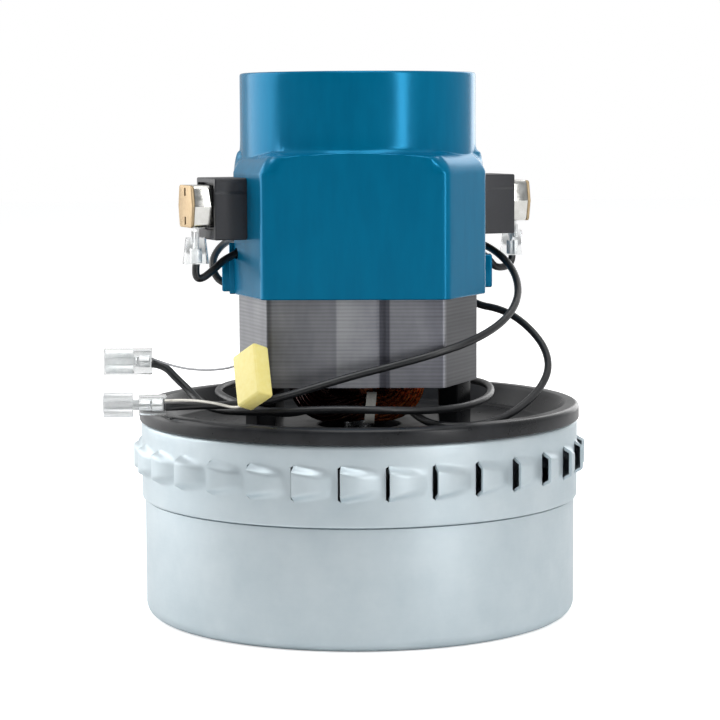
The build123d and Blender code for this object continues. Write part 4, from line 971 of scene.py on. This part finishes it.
def tape_loop(place_along, side, turn_of_tape, steps=32):
    """Cotton tape wrapped round the bundle, as a thin band that leans a little."""
    points = []
    for out, along in ((0.0, -TAPE_HALF), (TAPE_THICK, -TAPE_HALF), (TAPE_THICK, TAPE_HALF),
                       (0.0, TAPE_HALF)):
        for step in range(steps):
            angle = 2 * pi * step / steps
            wide, deep = (reach + STRAND / 2 + out for reach in (BUNDLE_HIGH, BUNDLE_DEEP))
            lean = 0.45 * sin(angle)
            x, y = turned(place_along + along + lean, side * (COIL_OUT + deep * cos(angle)))
            middle = STACK_MIDDLE + turn_of_tape * COIL_HALF_HIGH
            points.append((x, y, middle + wide * sin(angle)))
    return tidy(mesh_object("tape", points, grid_faces(4, steps)))


tapes = [tape_loop(-TAPE_ALONG * side, side, turn_of_tape)
         for side in (-1, 1) for turn_of_tape in (-1, 1)]
settle(join("lacing_tape_loops", tapes), matt["white_cotton_lacing"],
       ["lacing_tapes"])

# %% [markdown]
# ## Brush gear
# Both brush holders are the same moulding, half a turn apart. Everything in them is drawn in
# the holder's own directions: across, up, and out along the brush.

# %% Brush holders, tubes and caps
FERRULE_HALF = 6.85
FERRULE = [(-6, FERRULE_HALF), (6, FERRULE_HALF), (7.3, 0), (6, -FERRULE_HALF),
           (-6, -FERRULE_HALF), (-7.3, 0)]
ferrule_outline = soften(FERRULE, [1.5, 1.5, 0.5, 1.5, 1.5, 0.5], 5)
cap_outline = soften(FERRULE, [1.2, 1.2, 0.5, 1.2, 1.2, 0.5], 5)
tube_outline = soften(rectangle(8.0, 12.6), 0.6)
bore_outline = soften(rectangle(6.6, 11.2), 0.3)
# Outline and inner end of each hollow in a holder: the tube's bore, the collar's recess and a
# groove in both sides.
HOLLOWS = [(rectangle(8.1, 12.7), 20), (soften(rectangle(16.2, 15.3), 0.8), 51.5),
           (rectangle(0.7, 0.9, -9.6, 4.4), 20), (rectangle(0.7, 0.9, 9.6, 4.4), 20)]


def basis(across, up, out):
    """Rotation to the motor's frame from three directions of a piece."""
    return Matrix((across, up, out)).transposed().to_4x4()


def brush_frame(turn):
    """Matrix from across, up and out to the motor's frame."""
    rotation = basis((-sin(turn), cos(turn), 0), (0, 0, 1), (cos(turn), sin(turn), 0))
    return Matrix.Translation((0, 0, BRUSH_HEIGHT * MM)) @ rotation


for side, turn in BRUSH_TURNS.items():
    frame_matrix = brush_frame(turn)
    block = prism(side + "_brush_holder_block", soften(rectangle(19.0, 20.0, 0, -0.9), 0.5),
                  21.0, 53.5, 0.45, frame_matrix)
    carve(block, [prism("hollow", outline, inner, 60, 0, frame_matrix)
                  for outline, inner in HOLLOWS])
    settle(block, phenolic_black, [side + "_brush_holder"])
    tube = prism(side + "_brush_tube_shell", tube_outline, 16.0, 52.0, 0, frame_matrix)
    carve(tube, [prism("ferrule", ferrule_outline, 51.5, 59.58, 0.25, frame_matrix)], "UNION")
    carve(tube, [prism("bore", bore_outline, 10, 70, 0, frame_matrix)])
    settle(tube, metals["nickel_plated_brass"], [side + "_brush_tube"])
    cap = prism(side + "_brush_cap_plate", cap_outline, 59.6, 60.6, 0.2, frame_matrix)
    carve(cap, [prism("slot", rectangle(1.5, 2.6, 0, middle), 58, 62, 0, frame_matrix)
                for middle in (4.7, -4.7)])
    settle(cap, metals["pale_rolled_brass"], [side + "_brush_cap"])

# %% Brush springs
# A wound steel spring presses each carbon brush in. Its end turns lie close, so it sits flat on
# the brush and on the cap, and it shortens as the brush slides out.
SPRING_FROM, SPRING_TO = 32.7, 59.55
SPRING_REACH, SPRING_WIRE = 2.6, 0.6
SPRING_TURNS, END_PITCH = 11, 0.62


def spring_line(matrix, steps=24):
    """Centre line of the spring's wire in the motor's frame, in metres."""
    length = SPRING_TO - SPRING_FROM
    pitch = (length - SPRING_WIRE - 2 * END_PITCH) / (SPRING_TURNS - 2)
    radius = SPRING_REACH - SPRING_WIRE / 2
    line = []
    for step in range(SPRING_TURNS * steps + 1):
        wound = step / steps
        open_turns = min(max(wound - 1, 0), SPRING_TURNS - 2)
        closed_turns = wound - open_turns
        out = SPRING_FROM + SPRING_WIRE / 2 + pitch * open_turns + END_PITCH * closed_turns
        angle = 2 * pi * wound
        line.append(matrix @ (Vector((radius * cos(angle), radius * sin(angle), out)) * MM))
    return line


for side, turn in BRUSH_TURNS.items():
    frame_matrix = brush_frame(turn)
    spring = tidy(wire_mesh(side + "_brush_spring_coil", [spring_line(frame_matrix)],
                            SPRING_WIRE, 2, False))
    settle(spring, metals["blued_spring_steel"], [side + "_brush_spring"],
           crease=60)
    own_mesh(spring)

# %% Brush terminals and their clear sleeves
# The tag hangs from the ferrule, a rolled crimp grips the lead, and a clear vinyl sleeve flares
# over the crimp. The crimp is pinched on its outer side.
TAG_REACH = 57.1
TAG_TOP = BRUSH_HEIGHT - FERRULE_HALF
SLEEVE_LOW, SLEEVE_LONG = TAG_TOP - 11.9, 8.5
CRIMP_WIDE, CRIMP_DEEP, CRIMP_STEPS = 2.0, 1.7, 40
PINCH_DEEP, PINCH_HALF = 0.7, 0.3
crimp_outline = []
for step in range(CRIMP_STEPS):
    angle = 2 * pi * step / CRIMP_STEPS
    pinch = PINCH_DEEP if abs(angle - pi * 1.5) < PINCH_HALF else 0
    crimp_outline.append((CRIMP_WIDE * cos(angle), CRIMP_DEEP * sin(angle) - pinch))
roll_outlines = [soften(rectangle(1.5, 1.5, 0.35, across), 0.7, 5) for across in (-1.9, 1.9)]
# Outline, lower end, upper end and edge rounding of each part, below the tag's top.
TAG_PARTS = [(soften(rectangle(0.9, 4.8), 0.2), -5.5, 0.1, 0.15),
             (rectangle(3.4, 3.4, -1.0), -0.55, 0, 0.15),
             (crimp_outline, -11.5, -6.9, 0.2),
             (soften(rectangle(1.6, 2.4), 0.5), -7.2, -5.2, 0.1)]
TAG_PARTS += [(outline, -5.8, -1.4, 0.1) for outline in roll_outlines]
flare = soften([(4.35, SLEEVE_LOW), (3.3, SLEEVE_LOW + SLEEVE_LONG),
                (2.95, SLEEVE_LOW + SLEEVE_LONG), (3.95, SLEEVE_LOW)], [0.15, 0.12, 0.12, 0.15], 3)
for side, turn in BRUSH_TURNS.items():
    foot = (TAG_REACH * cos(turn), TAG_REACH * sin(turn))
    parts = [prism("tag", outline, TAG_TOP + low, TAG_TOP + high, bevel,
                   place_at(*foot, 0, turn)) for outline, low, high, bevel in TAG_PARTS]
    settle(join(side + "_brush_terminal_metal", parts), metals["tinned_brass_strip"],
           [side + "_brush_terminal"])
    settle(lathe(side + "_terminal_sleeve_cone", flare, 72, foot), clear_vinyl,
           [side + "_terminal_sleeve"])

# %% [markdown]
# ## Spade terminals
# A spade terminal is one strip of tinned brass. Both edges are rolled over to spring on the
# tab, and the tail is rolled round the bare wire and again round the insulation. A flat clear
# cover slides over it.

# %% Terminal strips and covers
def curl(middle, radius, first, last, thickness=0.42, steps=18):
    """Outline of a rolled strip, from one angle in degrees to another."""
    angles = [radians(first + (last - first) * step / steps) for step in range(steps + 1)]
    outer = [(radius * cos(angle), middle + radius * sin(angle)) for angle in angles]
    inner = [((radius - thickness) * cos(angle), middle + (radius - thickness) * sin(angle))
             for angle in reversed(angles)]
    return outer + inner


# Place of the terminal's tail, length of its neck, and the cover: start, length, half depth
# and half height, from the tail outwards.
SPADES = {"lower": ((-62.6, -38.0, 73.9), 6.4, (-0.7, 8.6, 2.8, 3.3)),
          "upper": ((-68.3, -20.0, 86.1), 1.9, (-0.4, 15.6, 2.8, 4.3))}
GRIP_END = 3.7
COVER_WALL = 0.35
for end_name, (spot, neck_long, cover_sizes) in SPADES.items():
    cover_from, cover_long, cover_deep, cover_tall = cover_sizes
    lay = Matrix.Translation(Vector(spot) * MM) @ basis((0, 1, 0), (0, 0, -1), (-1, 0, 0))
    start = GRIP_END + neck_long
    wire_grip_end = GRIP_END + max(neck_long - 2.2, 1.2)
    strips = [prism(name, outline, low, high, bevel, lay) for name, outline, low, high, bevel in (
        ("strip", rectangle(0.42, 5.4, 1.0), start, start + 9.6, 0.1),
        ("curl", curl(-2.55, 1.45, -10, -290), start, start + 9.2, 0.08),
        ("curl", curl(2.55, 1.45, 10, 290), start, start + 9.2, 0.08),
        ("neck", curl(0, 1.75, -100, 100), 3.4, start + 0.3, 0.1),
        ("wire_grip", curl(0, 1.55, -165, 165), 4.4, wire_grip_end, 0.1),
        ("lead_grip", curl(0, 1.95, -172, 172, 0.45, 30), 0.3, GRIP_END, 0.12))]
    settle(join(end_name + "_spade_terminal_strip", strips), metals["tinned_brass_strip"],
           [end_name + "_spade_terminal"], crease=40)
    outside = soften(rectangle(2 * cover_deep, 2 * cover_tall), 2.0, 6)
    inside = soften(rectangle(2 * (cover_deep - COVER_WALL), 2 * (cover_tall - COVER_WALL)),
                    2.0 - COVER_WALL, 6)
    rings = [(x, y, cover_from + end * cover_long)
             for outline, end in ((outside, 0), (outside, 1), (inside, 1), (inside, 0))
             for x, y in outline]
    cover = tidy(mesh_object(end_name + "_spade_cover_sleeve", rings,
                             grid_faces(4, len(outside))))
    cover.data.transform(lay)
    settle(cover, clear_vinyl, [end_name + "_spade_cover"], crease=50)

# %% [markdown]
# ## Capacitor
# The film capacitor is a dipped yellow block with soft edges. It hangs from two bare tinned
# wires that are gripped by the crimps of the spade terminals.

# %% Capacitor and its wires
CAP_WIDE, CAP_LONG, CAP_THICK = 11, 18, 6
CAP_PLACE = Vector((-40.0, -50.0, 90.4))
cap_across = Vector((0.654, -0.578, 0.495)).normalized()
cap_through = Vector((0.750, 0.581, -0.3125)).normalized()
cap_along = cap_through.cross(cap_across).normalized()
lie = Matrix.Translation(CAP_PLACE * MM) @ basis(cap_across, cap_along, cap_through)
cap_outline = soften(rectangle(CAP_WIDE, CAP_LONG, CAP_WIDE / 2, CAP_LONG / 2), 0.9, 4)
case = prism("capacitor_case", cap_outline, 0, CAP_THICK, 0.85, lie, 4)
settle(case, matt["yellow_film_capacitor_case"], ["capacitor"], crease=60)


def cap_point(across, along):
    """Place in the middle of the capacitor's thickness, in millimetres."""
    return tuple(CAP_PLACE + cap_across * across + cap_along * along
                 + cap_through * (CAP_THICK / 2))


wire_runs = {
    "capacitor_wire_upper": ([cap_point(0.5, 1.5), cap_point(-3, 1.5), (-49.0, -39.5, 85.0),
                              (-60.0, -27.5, 84.9), (-67.8, -20.2, 87.0)], 0.66),
    "capacitor_wire_lower": ([cap_point(0.5, 16.5), cap_point(-3, 16.5), (-45.5, -51.0, 76.0),
                              (-55.0, -43.5, 76.2), (-62.1, -38.2, 75.2)], 0.95),
}
for wire_name, (wire_points, wire_diameter) in wire_runs.items():
    wire = wire_along(wire_name + "_tinned", wire_points, wire_diameter, tinned_wire)
    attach(wire, "frame")
    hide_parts(wire_name)

# %% [markdown]
# ## Cooling fan
# The fan in the neck is one moulding. A blade is drawn once, twisted from its root to its tip,
# and the same Geometry Nodes that made the louvres set eight of them round the hub.

# %% Cooling fan blades and hub
FAN_BLADES = 8
FAN_MIDDLE = 166.0
BLADE_ROOT, BLADE_TIP = 9.0, 34.5
ROOT_PITCH, TWIST = 48, 22
ROOT_HALF, HALF_GAIN = 5.6, 0.5
CAMBER, BLADE_HALF_THICK, EDGE_THINS = 1.1, 0.62, 0.75
BLADE_ROWS, BLADE_STEPS = 10, 9
blade_points = []
for number in range(BLADE_ROWS):
    out = number / (BLADE_ROWS - 1)
    reach = BLADE_ROOT + (BLADE_TIP - BLADE_ROOT) * out
    pitch = radians(ROOT_PITCH - TWIST * out)
    half = ROOT_HALF + HALF_GAIN * out
    shares = [2 * step / (BLADE_STEPS - 1) - 1 for step in range(BLADE_STEPS)]
    for face, order in ((1, shares), (-1, shares[::-1])):
        for share in order:
            thick = BLADE_HALF_THICK * (1 - EDGE_THINS * abs(share))
            along, lift = share * half, CAMBER * (1 - share ** 2) + face * thick
            blade_points.append((reach, along * cos(pitch) - lift * sin(pitch),
                                 FAN_MIDDLE + along * sin(pitch) + lift * cos(pitch)))
around = 2 * BLADE_STEPS
last_row = around * (BLADE_ROWS - 1)
blade_faces = grid_faces(BLADE_ROWS, around, False)
blade_faces += [tuple(range(around - 1, -1, -1)), tuple(range(last_row, last_row + around))]
nylon = matt["black_glass_filled_nylon"]
blades = tidy(mesh_object("cooling_fan_moulding", blade_points, blade_faces))
run_tree(blades, ring_tree("blades_round_the_hub", nylon), FAN_BLADES)
hub_profile = soften([(4.0, 161.0), (10.0, 161.0), (10.0, 171.0), (7.0, 171.0), (7.0, 169.5),
                      (4.0, 169.5)], [0.2, 0.4, 1.0, 0.4, 0.4, 0.3], 4)
settle(join("cooling_fan_moulding", [blades, lathe("hub", hub_profile, 72)]), nylon,
       ["cooling_fan"], body="rotor")

# %% [markdown]
# ## Finishes of the CAD pieces that stay
# Pieces whose CAD shape is already right only need their material. The table names the
# pieces that wear each finish.

# %% Finish the CAD pieces
CAD_FINISHES = [
    (lamination_steel, ["stator_core", "armature_core"]),
    (metals["spun_sheet_aluminium"], ["stage_plate", "first_impeller", "second_impeller"]),
    (matt["fibre_slot_paper"], ["slot_liners"]),
    (dull_zinc, ["clamping_screws", "impeller_washer", "impeller_nut", "cooling_fan_nut"]),
    (matt["pressed_carbon"], ["lower_bearing", "right_carbon_brush", "left_carbon_brush"]),
    (metals["hardened_bearing_steel"], ["upper_bearing"]),
    (metals["ground_shaft_steel"], ["shaft", "stage_spacer", "bearing_spacer"]),
    (enamelled_copper, ["armature_winding"]),
    (metals["turned_commutator_copper"], ["commutator"]),
]
for finish, nodes in CAD_FINISHES:
    for node in nodes:
        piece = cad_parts[node]
        piece.data.materials.clear()
        piece.data.materials.append(finish)
print(sum(len(nodes) for finish, nodes in CAD_FINISHES), "CAD pieces finished")

# %% [markdown]
# ## Studio
# The motor stands on a plain white floor in an all-white studio. White softboxes behind it on
# both sides light its edges, and the room in front is dimmer, which is why a bright metal
# can looks darker in the middle. One narrow strip stands at the front right.

# %% World
WHITE = (1, 1, 1, 1)
ROOM_LIGHT = 0.62


def clear_tree(holder):
    """The empty node tree of a world or material."""
    holder.use_nodes = True
    holder.node_tree.nodes.clear()
    return holder.node_tree


world = bpy.data.worlds.new("white_studio")
bpy.context.scene.world = world
tree = clear_tree(world)
direction = add_node(tree, "ShaderNodeTexCoord").outputs["Generated"]
parts = add_node(tree, "ShaderNodeSeparateXYZ", links={"Vector": direction})
depth_share = add_node(tree, "ShaderNodeMapRange", dict(zip(SPAN, (-0.9, 0.5, 0, 1))),
                       {"Value": parts.outputs["Y"]})
room = add_node(tree, "ShaderNodeValToRGB", {"stops": [(0, "#5C6266"), (1, "#FFFFFF")]},
                {"Fac": depth_share.outputs["Result"]})
ray = add_node(tree, "ShaderNodeLightPath")
lit = add_node(tree, "ShaderNodeBackground", {"Strength": ROOM_LIGHT},
               {"Color": room.outputs["Color"]})
seen = add_node(tree, "ShaderNodeBackground", {"Color": WHITE, "Strength": 1.0})
seen_by = add_node(tree, "ShaderNodeMath", {"operation": "MAXIMUM"},
                   {0: ray.outputs["Is Camera Ray"], 1: ray.outputs["Is Transmission Ray"]})
shown = add_node(tree, "ShaderNodeMixShader", links={
    "Fac": seen_by.outputs["Value"], 1: lit.outputs["Background"], 2: seen.outputs["Background"]})
add_node(tree, "ShaderNodeOutputWorld", links={"Surface": shown.outputs["Shader"]})

# %% Lamps
# Place and size in metres, and power in watts. Every lamp faces the middle of the motor.
LAMPS = {
    "top_softbox": ((0.1, -0.45, 1.3), (0.9, 0.9), 8),
    "left_softbox": ((-1.05, 0.36, 0.45), (1.05, 1.0), 8.5),
    "right_softbox": ((0.5, 1.0, 0.45), (0.45, 1.0), 3),
    "right_strip": ((0.85, -0.92, 0.45), (0.2, 0.9), 4.5),
}
MOTOR_MIDDLE = Vector((0, 0, 0.09))
for lamp_name, (lamp_place, lamp_size, watts) in LAMPS.items():
    lamp = bpy.data.lights.new(lamp_name, "AREA")
    lamp.shape = "RECTANGLE"
    lamp.size, lamp.size_y = lamp_size
    lamp.energy = watts
    holder = add_object(lamp_name, lamp)
    holder.location = lamp_place
    facing = (MOTOR_MIDDLE - Vector(lamp_place)).to_track_quat("-Z", "Y")
    holder.rotation_euler = facing.to_euler()
print(len(LAMPS), "lamps")

# %% Floor
FLOOR_SIDE = 8000
floor = mesh_object("studio_floor", [(x, y, 0) for x, y in rectangle(FLOOR_SIDE, FLOOR_SIDE)],
                    [(0, 1, 2, 3)])
floor_white = bpy.data.materials.new("matt_white_floor")
tree = clear_tree(floor_white)
ray = add_node(tree, "ShaderNodeLightPath")
paint = add_node(tree, "ShaderNodeBsdfDiffuse", {"Color": (0.9, 0.9, 0.9, 1)})
glow = add_node(tree, "ShaderNodeEmission", {"Color": WHITE, "Strength": ROOM_LIGHT})
seen_glow = add_node(tree, "ShaderNodeMixShader", links={
    "Fac": ray.outputs["Is Camera Ray"], 2: glow.outputs["Emission"]})
sum_light = add_node(tree, "ShaderNodeAddShader", links={
    0: paint.outputs["BSDF"], 1: seen_glow.outputs["Shader"]})
add_node(tree, "ShaderNodeOutputMaterial", links={"Surface": sum_light.outputs["Shader"]})
floor.data.materials.append(floor_white)
